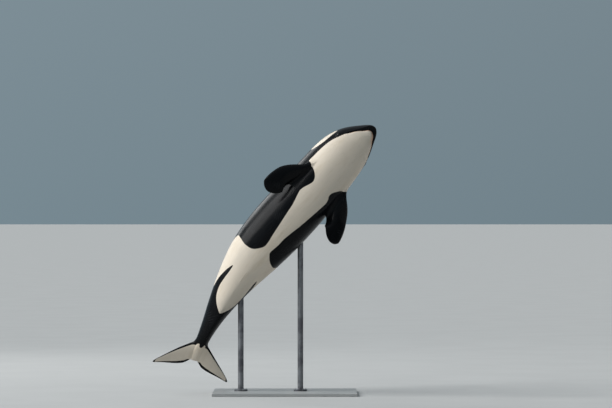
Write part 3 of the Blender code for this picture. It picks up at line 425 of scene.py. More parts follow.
def bodyFields(station, angle, side):       # white, saddle and lip distances at points of the body
    radius = meanRadius(np.maximum(station, 0.002))
    white, patch, tail, saddle = (
        outlineDistance(station * length, angle * radius, outlines[name])
        for name in ("bellyLeft" if side > 0 else "bellyRight", "eyePatch", "tailUnder", "saddle"))
    white = np.maximum(np.maximum(white, patch), tail)
    lip = (np.radians(mouthAngle(station)) - angle) * radius
    onJaw = fade(station, mouth["corner"] - mouth["whiteFade"], mouth["corner"])
    white = white + onJaw * (lip - mouth["whiteBelow"] - white)
    lip = lip + (1.0 - onJaw) * (0.2 - lip)
    if side > 0:
        more, start, end = mouth["warmLeft"]
        lip = lip * (1.0 - more * fade(station, start, end))
    else:
        less, start, end = mouth["warmRight"]
        lip = lip * (1.0 + less * (1.0 - fade(station, start, end)))
    return np.stack([white, saddle, lip], axis=-1)


# collecting the skin's faces

store = {"points": [], "fields": [], "faces": [], "count": 0}
# white, saddle and lip distances where there is no marking
unmarked = {"palate": (-0.02, -0.2, 0.2), "fin": (-0.06, -0.2, 0.2)}


def addSheet(points, fields, side=1.0, closed=False, skip=None):
    rows, columns = points.shape[:2]
    index = store["count"] + np.arange(rows * columns).reshape(rows, columns)
    if closed:
        index = np.concatenate([index, index[:, :1]], axis=1)
    quads = np.stack([index[:-1, :-1], index[1:, :-1], index[1:, 1:], index[:-1, 1:]], axis=-1)
    if skip is not None:
        quads = quads[~skip]
    store["points"].append((points * np.array([1.0, side, 1.0])).reshape(-1, 3))
    store["fields"].append(fields.reshape(-1, fields.shape[-1]))
    store["faces"].append(quads.reshape(-1, 4))
    store["count"] += rows * columns


def makeMesh(name, points, faces, fields, fieldNames):
    keys = np.round(points, 6) + 0.0    # points that meet become one
    first, inverse = np.unique(keys, axis=0, return_index=True, return_inverse=True)[1:]
    inverse = inverse.reshape(-1)
    polygons = []
    for corners in inverse[faces]:
        ring = list(dict.fromkeys(int(c) for c in corners))
        if len(ring) > 2:
            polygons.append(ring)
    mesh = bpy.data.meshes.new(name)
    mesh.from_pydata([tuple(p) for p in points[first].astype(float)], [], polygons)
    for k, fieldName in enumerate(fieldNames):
        place = fieldName == "straightPlace"
        kind, word, count = ("FLOAT_VECTOR", "vector", 3) if place else ("FLOAT", "value", 1)
        attribute = mesh.attributes.new(fieldName, kind, "POINT")
        attribute.data.foreach_set(word, fields[first, k:k + count].astype(np.float32).reshape(-1))
    turnOutward(mesh)
    return mesh


def turnOutward(mesh):      # every face looks out of the closed shape
    shape = bmesh.new()
    shape.from_mesh(mesh)
    bmesh.ops.recalc_face_normals(shape, faces=shape.faces)
    if shape.calc_volume(signed=True) < 0.0:
        bmesh.ops.reverse_faces(shape, faces=shape.faces)
    shape.to_mesh(mesh)
    shape.free()
    mesh.shade_smooth()


def addObject(name, data, material=None):
    item = bpy.data.objects.new(name, data)
    bpy.context.scene.collection.objects.link(item)
    if material:
        data.materials.clear()
        data.materials.append(material)
    return item


# the body

angles = columnAngles(stations)
jawTip = grid["snoutRows"]
cornerRow = int(np.argmax(stations >= mouth["corner"])) + 1
stationGrid = np.repeat(stations[:, None], angles.shape[1], axis=1)
surface = bodySurface(stationGrid, angles)
surface[:, -1, 1] = 0.0
surface[:, 0, 1] = 0.0
surface[0] = surface[0, mouthColumn]
normals = bodyNormal(stationGrid, angles)


def setBack(x):     # where along the head the lower jaw takes its section from
    overbite = mouth["overbite"] * length
    along = np.linspace(0.0, mouth["overbiteFade"], 600)
    reached = along + overbite * fade(along, 0.0, mouth["overbiteFade"])
    return np.where(x < mouth["overbiteFade"], np.interp(x, reached, along), x)


def lowerHalf():
    rows = stations[jawTip:]
    behind = setBack(rows * length) / length
    jawAngles = columnAngles(behind)[:, :mouthColumn + 1]
    behindGrid = np.repeat(behind[:, None], mouthColumn + 1, axis=1)
    jaw = bodySurface(behindGrid, jawAngles)
    jaw += ((surface[jawTip:, mouthColumn] - jaw[:, mouthColumn]) * np.array([1.0, 0.0, 1.0]))[:, None, :]
    jaw[:, 0, 1] = 0.0
    jaw[0] = jaw[0, mouthColumn] * np.array([1.0, 0.0, 1.0])
    return jaw, behindGrid, jawAngles


lower, lowerStations, lowerAngles = lowerHalf()
jawFront = mouth["overbite"] * length
opening = (fade(stations, mouth["corner"] - mouth["slitFade"], mouth["corner"])
           * (1.0 - fade(stations * length, jawFront, jawFront + mouth["slitFrom"])))
lower[:, mouthColumn, 2] -= mouth["slitHeight"] * opening[jawTip:]


def ledge():    # from the lower lip into the slit of the mouth, and out along the palate to the upper lip
    rows = []
    for i in range(cornerRow + 1):
        lip = surface[i, mouthColumn]
        if i < jawTip:
            inner = lip * np.array([1.0, 0.0, 1.0])
            slit = [inner, inner, inner]
        else:
            low = lower[i - jawTip, mouthColumn]
            high = low + np.array([0.0, 0.0, 2.0 * mouth["slitHeight"] * opening[i]])
            deep = 0.5 * (low + high)
            deep[1] = max(deep[1] - mouth["slitDepth"] * opening[i], 0.3 * deep[1])
            slit = [low, deep, high]
        inner = slit[-1]
        rows.append(slit + [inner + (lip - inner) * t for t in mouth["palateSteps"]] + [lip])
    return np.array(rows)


# openings for the fins: first and last station, share of the first and last column
finRoots = {"flipper": (0.205, 0.332, 0.25, 0.375), "fluke": (0.905, 0.985, 0.3125, 0.6875),
            "dorsal": (0.352, 0.525, 0.9375, 1.0)}
fins = {}
for name, (front, rear, low, high) in finRoots.items():
    rows = [int(np.argmin(abs(stations - at))) for at in (front, rear)]
    columns = [int(np.argmin(abs(shares - at))) for at in (low, high)]
    fins[name] = (rows, columns)

whole = surface.copy()
whole[jawTip:, :mouthColumn + 1] = lower


def holes(rowStart, rowCount, columnStart, columnCount):
    skip = np.zeros((rowCount, columnCount), dtype=bool)
    for rows, columns in fins.values():
        skip[max(rows[0] - rowStart, 0):max(rows[1] - rowStart, 0),
             max(columns[0] - columnStart, 0):max(columns[1] - columnStart, 0)] = True
    return skip


def addBody():
    palate = ledge()
    ring = whole[-1]
    pole = np.array([length * whale["tailEnd"], 0.0, section(1.0)[0]])
    turn = np.radians(np.linspace(0.0, 90.0, grid["capRows"]))[:, None, None]
    cap = pole + (ring - pole)[None] * np.cos(turn)
    cap[..., 0] = ring[None, :, 0] + (pole[0] - ring[None, :, 0]) * np.sin(turn[..., 0])
    cap[-1] = pole
    fromTip = np.linalg.norm(lower - lower[0, 0], axis=-1)
    for side in (1.0, -1.0):
        upperFields = bodyFields(stationGrid[:, mouthColumn:], angles[:, mouthColumn:], side)
        addSheet(surface[:, mouthColumn:], upperFields, side,
                 skip=holes(0, len(stations) - 1, mouthColumn, len(shares) - 1 - mouthColumn))
        lowerFields = bodyFields(lowerStations, lowerAngles, side)
        lowerFields[..., 0] = np.minimum(lowerFields[..., 0], fromTip - mouth["whiteBelow"])
        lowerFields[..., 2] = np.minimum(lowerFields[..., 2], fromTip)
        addSheet(lower, lowerFields, side,
                 skip=holes(jawTip, len(stations) - 1 - jawTip, 0, mouthColumn))
        addSheet(palate, np.broadcast_to(unmarked["palate"], palate.shape), side)
        capFields = np.repeat(bodyFields(stationGrid[-1:], angles[-1:], side), grid["capRows"], axis=0)
        addSheet(cap, capFields, side)


# fins: the same wing sections as the solids, with more rings

finShape = {"nose": 0.05, "heel": 0.96, "last": 0.995, "roundFrom": 0.94, "rows": 26, "filletRows": 9}

flipperSizes = {
    "station": 0.273, "angle": 56.0, "sunk": 0.10, "bend": 0.12, "first": 0.12, "length": 0.815,
    "left": (45.0, -31.0, 63.0), "right": (53.9, -13.0, 29.0),      # sweep, rise, twist
    "rootChord": 0.58, "halfChord": 0.276,
    # sections turn from fore and aft towards square to the paddle up to here, and keep this share
    "turnedAt": 0.486, "foreAndAft": 0.288,
    "roundFrom": 0.48, "roundPower": 2.3, "leadCut": 0.50, "trailFull": 0.184,
    "tipShare": 0.15, "thickness": ((0.0, 0.17), (0.3, 0.14), (0.6, 0.10), (1.0, 0.07)),
}

dorsalSizes = {
    "height": 0.72, "sunk": 0.09, "base": 0.585, "lead": (2.24, 0.68, 0.60), "trail": (3.03, -0.64, 0.93),
    "thickness": 0.105, "tipThickness": 0.014, "thinning": 0.8, "first": 0.20,
}

flukeSizes = {
    "halfSpan": 0.78, "inner": 0.03, "root": 0.10, "lead": 5.50, "sweep": 0.85, "sweepBend": 0.12,
    "trail": 5.83, "notchDepth": 0.28, "notchWidth": 0.15, "tipReach": 0.07, "level": 0.0, "curl": -0.05,
    "thickness": 0.080, "tipThickness": 0.010, "thinning": 1.3, "first": 0.20,
    "white": (0.10, 0.86, 0.94),    # from and to which share of the chord, out to which share of the span
}

flipperThickness = smoothCurve(flipperSizes["thickness"])


def onSection(points):      # station, and the shares up and across of the body's section there
    station = np.clip(points[..., 0] / length, 0.002, 1.0)
    level, height, depth, width, keel = section(station)
    rise = points[..., 2] - level
    return station, rise / np.where(rise < 0.0, depth, height), np.abs(points[..., 1]) / width, keel


def insideBody(points):
    up, across, keel = onSection(points)[1:]
    return across ** (2.0 / keel) + up ** 2 < 1.0


def placeOnBody(points):    # station and angle of the hide below points near it
    station, up, across, keel = onSection(points)
    return station, np.arctan2(across ** (1.0 / keel), -up)


def finLoop(chordCells, thickCells):
    nose, heel = finShape["nose"], finShape["heel"]
    along = np.arange(chordCells) / chordCells
    across = 2.0 * np.arange(thickCells) / thickCells - 1.0
    one = np.ones(chordCells)
    return (np.concatenate([nose + (heel - nose) * along, heel + (1.0 - heel) * (1.0 - across ** 2),
                            heel + (nose - heel) * along, nose * across ** 2]),
            np.concatenate([-one, across, one, -across]))


def finProfile(x):
    return 2.969 * np.sqrt(x) - 1.260 * x - 3.516 * x ** 2 + 2.843 * x ** 3 - 0.960 * x ** 4


def finSection(fin, t, loop):
    lead, trail, lift, thickness = fin(t)
    x, side = loop
    half = 0.5 * thickness * finProfile(x) * side
    return lead + (trail - lead) * x[:, None] + lift * half[:, None]


def roundEnd(t, start, power=2.0):
    u = min(max((t - start) / (1.0 - start), 0.0), 1.0)
    return math.sqrt(max(1.0 - u ** power, 0.0))


def thinFin(spec, t, lead, trail, lift):    # a section with the fin's rounded tip and thickness
    lead, trail = np.array(lead), np.array(trail)
    middle = 0.5 * (lead + trail)
    tip = roundEnd(t, finShape["roundFrom"])
    thickness = spec["thickness"] * (1.0 - t) ** spec["thinning"] + spec["tipThickness"]
    return middle + (lead - middle) * tip, middle + (trail - middle) * tip, np.array(lift), thickness


def flipper(sweep, rise, twist):
    spec = flipperSizes
    size = spec["length"]
    root = plainBody(spec["station"], math.radians(spec["angle"]))
    normal = bodyNormal(spec["station"], math.radians(spec["angle"]))
    normal = unit(normal * np.array([0.0, 1.0, 1.0]))
    sweep, rise, twist = (math.radians(a) for a in (sweep, rise, twist))
    spread = np.array([0.0, math.cos(rise), math.sin(rise)])
    sunk = spec["sunk"] / math.cos(sweep)
    aft = np.array([1.0, 0.0, 0.0])

    def middle(along):
        out = along * math.cos(sweep)
        leave = math.exp(-max(out, 0.0) / spec["bend"])
        return root + aft * along * math.sin(sweep) + out * (spread + (normal - spread) * leave)

    def sectionAt(t):
        along = -sunk + (size + sunk) * t
        course = unit(middle(along + 0.001) - middle(along - 0.001))
        chord = unit(aft - course * course[0])
        turned = chord * math.cos(twist) + np.cross(course, chord) * math.sin(twist)
        square = float(fade(along, spec["first"], spec["turnedAt"]))
        keep = spec["foreAndAft"] + (1.0 - spec["foreAndAft"]) * square
        chord = unit(keep * aft + (1.0 - keep) * turned)
        lift = unit(-np.cross(course, chord))
        share = max(along / size, 0.0)
        tip = roundEnd(share, spec["roundFrom"], spec["roundPower"])
        half = (0.5 * spec["rootChord"] * square + spec["halfChord"] * (1.0 - square)) * tip
        thickness = float(flipperThickness(t)) * (spec["tipShare"] + (1.0 - spec["tipShare"]) * tip)
        lead = middle(along) - chord * half * (1.0 - spec["leadCut"] * share ** 2)
        trail = middle(along) + chord * half * (1.0 + spec["trailFull"] * share ** 2)
        return lead, trail, lift, thickness

    return sectionAt, (spec["first"] + sunk) / (size + sunk)


def dorsalFin(t):
    spec = dorsalSizes
    rise = -spec["sunk"] + (spec["height"] + spec["sunk"]) * t
    high = max(rise, 0.0)
    lead = spec["lead"][0] + spec["lead"][1] * rise + spec["lead"][2] * high * high
    trail = spec["trail"][0] + spec["trail"][1] * high + spec["trail"][2] * high * high
    up = spec["base"] + rise
    return thinFin(spec, t, (lead, 0.0, up), (trail, 0.0, up), (0.0, -1.0, 0.0))


def fluke(t):
    spec = flukeSizes
    out = spec["inner"] + (spec["halfSpan"] - spec["inner"]) * t
    pastRoot = out - spec["root"]
    lead = spec["lead"] + spec["sweep"] * pastRoot + spec["sweepBend"] * pastRoot * abs(pastRoot)
    trail = (spec["trail"] + spec["notchDepth"] * (1.0 - math.exp(-out / spec["notchWidth"]))
             + spec["tipReach"] * t ** 3)
    up = spec["level"] + spec["curl"] * t * t
    return thinFin(spec, t, (lead, out, up), (trail, out, up), (0.0, 0.0, 1.0))


def filletRings(boundary, facing, inner, outer, rows):
    low = np.zeros(len(inner))
    high = np.ones(len(inner))
    for _ in range(40):
        middle = 0.5 * (low + high)
        sunk = insideBody(inner + (outer - inner) * middle[:, None])
        low = np.where(sunk, middle, low)
        high = np.where(sunk, high, middle)
    corner = inner + (outer - inner) * low[:, None]
    corner = corner - np.sum((corner - boundary) * facing, axis=-1, keepdims=True) * facing
    return [(1 - u) ** 2 * boundary + 2 * u * (1 - u) * corner + u * u * outer
            for u in (i / rows for i in range(1, rows + 1))]


def loopPatch(loop, n, m):
    low = loop[:n + 1]
    right = loop[n:n + m + 1]
    top = loop[n + m:2 * n + m + 1][::-1]
    left = np.concatenate([loop[2 * n + m:], loop[:1]])[::-1]
    u = np.linspace(0.0, 1.0, n + 1)[:, None, None]
    v = np.linspace(0.0, 1.0, m + 1)[None, :, None]
    sides = (1 - v) * low[:, None] + v * top[:, None] + (1 - u) * left[None] + u * right[None]
    corners = ((1 - u) * (1 - v) * low[0] + u * (1 - v) * low[-1] + (1 - u) * v * top[0] + u * v * top[-1])
    return sides - corners


def growFin(name, shape, first, side, finWhite, ownFrom=0, bothSides=False):
    rows, columns = fins[name]
    band = [(j, 1.0) for j in range(columns[0], columns[1] + 1)]
    if bothSides:
        band += [(j, -1.0) for j in range(columns[1] - 1, columns[0] - 1, -1)]
    low, high = rows
    cells = (high - low, len(band) - 1)
    path = [(i, 0) for i in range(low, high)] + [(high, j) for j in range(cells[1])]
    path += [(i, cells[1]) for i in range(high, low, -1)] + [(low, j) for j in range(cells[1], 0, -1)]
    flip = np.array([(1.0, band[j][1], 1.0) for i, j in path])
    where = ([i for i, j in path], [band[j][0] for i, j in path])
    boundary = whole[where] * flip
    facing = normals[where] * flip
    edgeFields = bodyFields(stationGrid[where], angles[where], side)
    loop = finLoop(*cells)
    inner = finSection(shape, 0.0, loop)
    outer = finSection(shape, first, loop)
    last = finShape["last"]
    spans = [first + (last - first) * math.sin(0.5 * math.pi * i / finShape["rows"])
             for i in range(1, finShape["rows"] + 1)]
    rings = [boundary] + filletRings(boundary, facing, inner, outer, finShape["filletRows"])
    rings += [finSection(shape, t, loop) for t in spans]
    fields = [edgeFields]
    for k, t in enumerate([first] * finShape["filletRows"] + spans, 1):
        blend = 1.0 - float(fade(k, ownFrom, finShape["filletRows"]))
        ground = bodyFields(*placeOnBody(rings[k]), side) if ownFrom and blend < 1.0 else edgeFields
        fields.append(ground * (1.0 - blend) + finWhite(t, loop, shape) * blend)
    rings, fields = np.array(rings), np.array(fields)
    addSheet(rings, fields, side, closed=True)
    patch = loopPatch(rings[-1], *cells)
    addSheet(patch, np.broadcast_to(fields[-1, 0], patch.shape), side)


def plainBlack(t, loop, shape):
    return np.array(unmarked["fin"])


def flukeWhite(t, loop, shape):     # white below, with a dark border
    lead, trail = shape(t)[:2]
    chord = float(np.linalg.norm(trail - lead))
    x, face = loop
    front, rear, out = flukeSizes["white"]
    inside = np.minimum((x - front) * chord, (rear - x) * chord)
    inside = np.minimum(inside, (out - t) * flukeSizes["halfSpan"])
    marks = np.tile(unmarked["fin"], (len(x), 1))
    marks[:, 0] = np.where(face < -0.5, inside, -0.03)
    return marks


# lids round the eyes, in the same mesh as the skin

def eyeFrame(side):
    station, angle = eyes["station"], math.radians(eyes["angle"])
    here = plainBody(station, angle)
    flip = np.array([1.0, side, 1.0])
    place = bendWhale(here * flip)
    out = unit(bendWhale((here + bodyNormal(station, angle) * 0.002) * flip) - place)
    aft = bendWhale(plainBody(station + 0.002, angle) * flip) - place
    aft = unit(aft - out * (aft @ out))
    return place, out, aft, np.cross(out, aft)


def addLids(side):      # a closed ring: down into the socket, over the lid, out flush with the hide
    turn = np.linspace(0.0, 2.0 * math.pi, eyes["around"] + 1)[None, :]
    away, height = smoothPath(eyes["lidProfile"], eyes["lidRings"])
    pinch = 1.0 - eyes["pinch"] * np.abs(np.cos(turn)) ** 3
    upper = 0.5 + 0.5 * np.sin(turn)
    out = away[:, None] * (1.0 + eyes["upperReach"] * upper)
    aft = (eyes["lidLength"] + out) * np.cos(turn)
    over = eyes["lidHeight"] * np.sin(turn) * pinch + out * np.sin(turn)
    tilt = math.radians(eyes["tilt"])
    station = eyes["station"] + (aft * math.cos(tilt) - over * math.sin(tilt)) / length
    radius = meanRadius(eyes["station"])
    angle = math.radians(eyes["angle"]) + (over * math.cos(tilt) + aft * math.sin(tilt)) / radius
    tall = height[:, None] * (1.0 + eyes["upperHeight"] * upper * (away[:, None] < eyes["upperWithin"]))
    points = plainBody(station, angle) + bodyNormal(station, angle) * tall[..., None]
    marks = bodyFields(station, angle, side)
    addSheet(np.concatenate([points, points[:1]]), np.concatenate([marks, marks[:1]]), side)


def smoothPath(corners, steps):     # points evenly spread along a rounded path
    corners = np.array(corners)
    run = np.concatenate([[0.0], np.cumsum(np.linalg.norm(np.diff(corners, axis=0), axis=1))])
    at = np.linspace(0.0, run[-1], steps)
    return tuple(smoothCurve(list(zip(run, corners[:, k])))(at) for k in (0, 1))


# finishes, as trees of nodes

def feed(tree, node, inputs):       # links what is a socket, and sets what is a value
    for key, value in inputs.items():
        if isinstance(value, bpy.types.NodeSocket):
            tree.links.new(value, node.inputs[key])
        else:
            node.inputs[key].default_value = value


def makeNode(tree, kind, inputs=None, **settings):
    node = tree.nodes.new(kind)
    for key, value in settings.items():
        setattr(node, key, value)
    feed(tree, node, inputs or {})
    return node


def newMaterial(name):
    material = bpy.data.materials.new(name)
    material.use_nodes = True
    return material, material.node_tree


def dress(tree, inputs):
    feed(tree, tree.nodes["Principled BSDF"], inputs)


def noiseTexture(tree, vector, scale, detail=3.0, roughness=0.5):
    inputs = {"Vector": vector, "Scale": scale, "Detail": detail, "Roughness": roughness}
    return makeNode(tree, "ShaderNodeTexNoise", inputs).outputs["Fac"]


def mathNode(tree, operation, *values):
    return makeNode(tree, "ShaderNodeMath", dict(enumerate(values)), operation=operation).outputs[0]


def ramp(tree, value, low, high, outLow=0.0, outHigh=1.0, kind="SMOOTHSTEP"):
    inputs = {"Value": value, "From Min": low, "From Max": high, "To Min": outLow, "To Max": outHigh}
    return makeNode(tree, "ShaderNodeMapRange", inputs, interpolation_type=kind).outputs["Result"]


def mixColor(tree, factor, *colors):
    first, second = (c if isinstance(c, bpy.types.NodeSocket) else (*c, 1.0) for c in colors)
    return makeNode(tree, "ShaderNodeMix", {0: factor, 6: first, 7: second}, data_type="RGBA").outputs[2]


def objectCoordinates(tree):
    return makeNode(tree, "ShaderNodeTexCoord").outputs["Object"]


def fieldValue(tree, name, kind="Fac"):
    return makeNode(tree, "ShaderNodeAttribute", attribute_name=name,
                    attribute_type="GEOMETRY").outputs[kind]


def mapped(tree, spot, **inputs):
    return makeNode(tree, "ShaderNodeMapping", {"Vector": spot, **inputs}).outputs[0]


def relief(tree, height, strength, depth, below=None):
    inputs = {"Height": height, "Strength": strength, "Distance": depth}
    if below:
        inputs["Normal"] = below
    return makeNode(tree, "ShaderNodeBump", inputs).outputs["Normal"]


skinLook = {
    "black": (0.0022, 0.0025, 0.0031), "blackWorn": (0.0055, 0.0060, 0.0072), "rake": (0.036, 0.037, 0.040),
    "white": (0.66, 0.580, 0.480), "whiteCool": (0.60, 0.535, 0.450), "whiteStain": (0.52, 0.43, 0.31),
    "whiteRake": (0.50, 0.43, 0.34), "saddle": (0.120, 0.124, 0.128), "lip": (0.46, 0.235, 0.130),
    "edge": 0.003, "edgeWander": 0.006, "saddleWander": 0.24,
    "coat": 0.09, "coatRoughness": 0.18, "roughness": (0.20, 0.38), "whiteRougher": 0.14, "rakeRougher": 0.15,
    # relief: how fine in one metre (the rakes have their own pattern), strength, depth
    "swell": (6.0, 0.15, 0.008), "ridges": (150.0, 0.16, 0.0009), "rakeCut": (0.20, -0.0006),
    # turn of the bands, start of the pattern, bands in one metre
    "rakes": (((0.2, 0.5, 0.9), (0.4, 0.0, 0.2), 8.5), ((0.6, -0.3, -0.7), (3.5, 1.7, 0.2), 7.0)),
    "rakeShown": (0.40, 0.25),      # on black, on white
}


def rakeMarks(tree, spot):      # short rows of parallel lines left by teeth, in patches
    rows = []
    for turn, start, count in skinLook["rakes"]:
        way = mapped(tree, spot, Rotation=turn, Location=start)
        inputs = {"Vector": way, "Scale": count, "Distortion": 1.2, "Detail": 2.0, "Detail Scale": 1.3}
        bands = makeNode(tree, "ShaderNodeTexWave", inputs).outputs["Fac"]
        patches = ramp(tree, noiseTexture(tree, way, 3.2, 2.0), 0.63, 0.70)
        rows.append(mathNode(tree, "MULTIPLY", ramp(tree, bands, 0.90, 0.985), patches))
    return mathNode(tree, "MAXIMUM", *rows)


def wandering(tree, name, width, pattern):      # a marking's distance, its edge made uneven
    shift = mathNode(tree, "MULTIPLY_ADD", pattern, width, -0.5 * width)
    return mathNode(tree, "ADD", fieldValue(tree, name), shift)


def makeSkin():
    look = skinLook
    material, tree = newMaterial("orcaSkin")
    spot = fieldValue(tree, "straightPlace", "Vector")
    lengthwise = mapped(tree, spot, Scale=(0.16, 1.0, 1.0))
    # outlines of the markings
    flecks = noiseTexture(tree, spot, 9.0, 5.0, 0.65)
    white = wandering(tree, "whiteEdge", look["edgeWander"], flecks)
    whiteMask = ramp(tree, white, -look["edge"], look["edge"])
    blotches = noiseTexture(tree, lengthwise, 7.0, 6.0, 0.6)
    saddle = wandering(tree, "saddleEdge", look["saddleWander"], blotches)
    saddleMask = ramp(tree, saddle, -0.05, 0.09, 0.0, 0.8)
    rake = rakeMarks(tree, spot)
    onBlack, onWhite = (mathNode(tree, "MULTIPLY", rake, share) for share in look["rakeShown"])
    # colour
    broad = noiseTexture(tree, lengthwise, 2.4, 5.0, 0.55)
    black = mixColor(tree, ramp(tree, broad, 0.42, 0.68), look["black"], look["blackWorn"])
    black = mixColor(tree, saddleMask, black, look["saddle"])
    black = mixColor(tree, onBlack, black, look["rake"])
    pale = mixColor(tree, ramp(tree, broad, 0.38, 0.62), look["white"], look["whiteCool"])
    stains = ramp(tree, noiseTexture(tree, lengthwise, 6.5, 6.0, 0.62), 0.50, 0.72, 0.0, 0.40)
    pale = mixColor(tree, stains, pale, look["whiteStain"])
    pale = mixColor(tree, onWhite, pale, look["whiteRake"])
    lipMask = ramp(tree, fieldValue(tree, "lipEdge"), 0.055, 0.006, 0.0, 0.90)
    pale = mixColor(tree, lipMask, pale, look["lip"])
    # gloss
    film = noiseTexture(tree, lengthwise, 11.0, 6.0, 0.65)
    rough = ramp(tree, film, 0.30, 0.70, *look["roughness"])
    rough = mathNode(tree, "MULTIPLY_ADD", whiteMask, look["whiteRougher"], rough)
    rough = mathNode(tree, "MULTIPLY_ADD", rake, look["rakeRougher"], rough)
    # relief
    normal = None
    for place, (fine, strength, depth) in ((spot, look["swell"]), (lengthwise, look["ridges"])):
        normal = relief(tree, noiseTexture(tree, place, fine, 3.0), strength, depth, normal)
    dress(tree, {"Base Color": mixColor(tree, whiteMask, black, pale), "Roughness": rough,
                 "Normal": relief(tree, rake, *look["rakeCut"], normal), "IOR": 1.40,
                 "Specular IOR Level": 0.10, "Coat Weight": look["coat"],
                 "Coat Roughness": look["coatRoughness"], "Coat IOR": 1.33})
    return material


eyeLook = {
    "pupil": (0.001, 0.001, 0.001), "iris": (0.040, 0.020, 0.011), "rim": (0.008, 0.006, 0.005),
    "white": (0.045, 0.028, 0.024),
    # degrees from the middle of the pupil over which each ring begins
    "irisFrom": (9.0, 11.0), "rimFrom": (27.0, 30.0), "whiteFrom": (33.0, 40.0),
}


def makeEyeFinish():
    material, tree = newMaterial("orcaEye")
    gaze = fieldValue(tree, "gaze")
    streaks = noiseTexture(tree, objectCoordinates(tree), 260.0, 4.0)
    iris = mixColor(tree, streaks, eyeLook["rim"], eyeLook["iris"])
    color = mixColor(tree, ramp(tree, gaze, *eyeLook["irisFrom"]), eyeLook["pupil"], iris)
    for ring in ("rim", "white"):
        color = mixColor(tree, ramp(tree, gaze, *eyeLook[ring + "From"]), color, eyeLook[ring])
    dress(tree, {"Base Color": color, "Roughness": 0.14, "IOR": 1.38, "Coat Weight": 0.35,
                 "Coat Roughness": 0.06})
    return material


standLook = {"board": (0.30, 0.305, 0.30), "boardWorn": (0.40, 0.40, 0.385), "steel": (0.22, 0.225, 0.235),
             "steelDark": (0.10, 0.10, 0.11), "bolt": (0.42, 0.42, 0.43)}


def makeBoardFinish():
    material, tree = newMaterial("paintedBoard")
    spot = objectCoordinates(tree)
    strokes = noiseTexture(tree, mapped(tree, spot, Scale=(3.0, 60.0, 60.0)), 1.0, 4.0)
    scuffs = ramp(tree, noiseTexture(tree, spot, 2.3, 6.0, 0.62), 0.50, 0.72, 0.0, 0.6)
    dress(tree, {"Base Color": mixColor(tree, scuffs, standLook["board"], standLook["boardWorn"]),
                 "Roughness": ramp(tree, strokes, 0.3, 0.7, 0.38, 0.55), "IOR": 1.45,
                 "Normal": relief(tree, strokes, 0.25, 0.001)})
    return material


def makeSteelFinish(name, light, dark):
    material, tree = newMaterial(name)
    spot = objectCoordinates(tree)
    lines = noiseTexture(tree, mapped(tree, spot, Scale=(90.0, 90.0, 2.5)), 1.0, 4.0)
    patches = ramp(tree, noiseTexture(tree, spot, 4.0, 5.0), 0.40, 0.65)
    dress(tree, {"Base Color": mixColor(tree, patches, light, dark), "Metallic": 0.85,
                 "Roughness": ramp(tree, lines, 0.3, 0.7, 0.26, 0.44),
                 "Normal": relief(tree, lines, 0.15, 0.0006)})
    return material


# the skin

addBody()
for side, lie in ((1.0, "left"), (-1.0, "right")):
    paddle, first = flipper(*flipperSizes[lie])
    growFin("flipper", paddle, first, side, plainBlack, ownFrom=3)
    growFin("fluke", fluke, flukeSizes["first"], side, flukeWhite)
growFin("dorsal", dorsalFin, dorsalSizes["first"], 1.0, plainBlack, bothSides=True)
addLids(1.0)
addLids(-1.0)

points = np.concatenate(store["points"])
fields = np.concatenate(store["fields"])
faces = np.concatenate(store["faces"])
posed = bendWhale(points)
fields = np.concatenate([fields, points], axis=1)     # where each point lies on the straight whale
skinMesh = makeMesh("orcaSkin", posed, faces, fields, ("whiteEdge", "saddleEdge", "lipEdge", "straightPlace"))


def roughen(mesh):      # the slight unevenness of a living hide
    for vertex, normal in zip(mesh.vertices, [v.normal.copy() for v in mesh.vertices]):
        lump = sum(noise.noise(vertex.co * fine) * strong for fine, strong in forms["lumps"])
        vertex.co += normal * lump * forms["unevenness"]


roughen(skinMesh)
skinFinish = makeSkin()
skin = addObject("orcaSkin", skinMesh, skinFinish)
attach(skin, "root")
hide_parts("head", "lower_jaw", "chest", "abdomen", "tail_stock", "flipper_left", "flipper_right",
            "fluke_left", "fluke_right", "dorsal_fin")
print("skin:", sum(len(p.vertices) - 2 for p in skinMesh.polygons), "triangles")

# the eyes

eyeFinish = makeEyeFinish()
for side, word in ((1.0, "Left"), (-1.0, "Right")):
    place, out, aft, across = eyeFrame(side)
    ball = bmesh.new()
    bmesh.ops.create_uvsphere(ball, u_segments=48, v_segments=40, radius=eyes["radius"])
    mesh = bpy.data.meshes.new("eye" + word)
    ball.to_mesh(mesh)
    ball.free()
    values = []
    turned = Matrix((aft, across, out)).transposed()
    seat = Vector(place) - Vector(out) * eyes["sunk"]
    for vertex in mesh.vertices:
        off = math.degrees(vertex.co.angle(Vector((0.0, 0.0, 1.0))))
        values.append(off)
        bulge = 1.0 + eyes["cornea"][0] * math.exp(-(off / eyes["cornea"][1]) ** 2)
        vertex.co = turned @ (vertex.co * bulge) + seat
    mesh.attributes.new("gaze", "FLOAT", "POINT").data.foreach_set("value", values)
    turnOutward(mesh)
    eye = addObject("eye" + word, mesh, eyeFinish)
    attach(eye, "root")
    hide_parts("eye_" + word.lower())
print("eyes done")

# the stand: better finishes, and bolts round the rods' feet

boardFinish = makeBoardFinish()
steelFinish = makeSteelFinish("drawnSteel", standLook["steel"], standLook["steelDark"])
boltFinish = makeSteelFinish("boltSteel", standLook["bolt"], standLook["steel"])
for nodeName, finish in (("stand_base", boardFinish), ("stand_rod_front", steelFinish),
                         ("stand_rod_rear", steelFinish)):
    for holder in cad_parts[nodeName].material_slots:
        holder.material = finish

bolts = {"Ring Radius": 0.100, "Bolt Radius": 0.012, "Bolt Height": 0.011, "Washer Radius": 0.018, "Count": 6,
         "washerHeight": 0.003, "taper": 0.90, "footTop": 0.0903, "frontX": 0.30, "rearX": -0.86,
         # sides, radius, height and lift of the head and of its washer
         "pieces": ((6, "Bolt Radius", "Bolt Height", 0.0005), (24, "Washer Radius", None, -0.0005))}


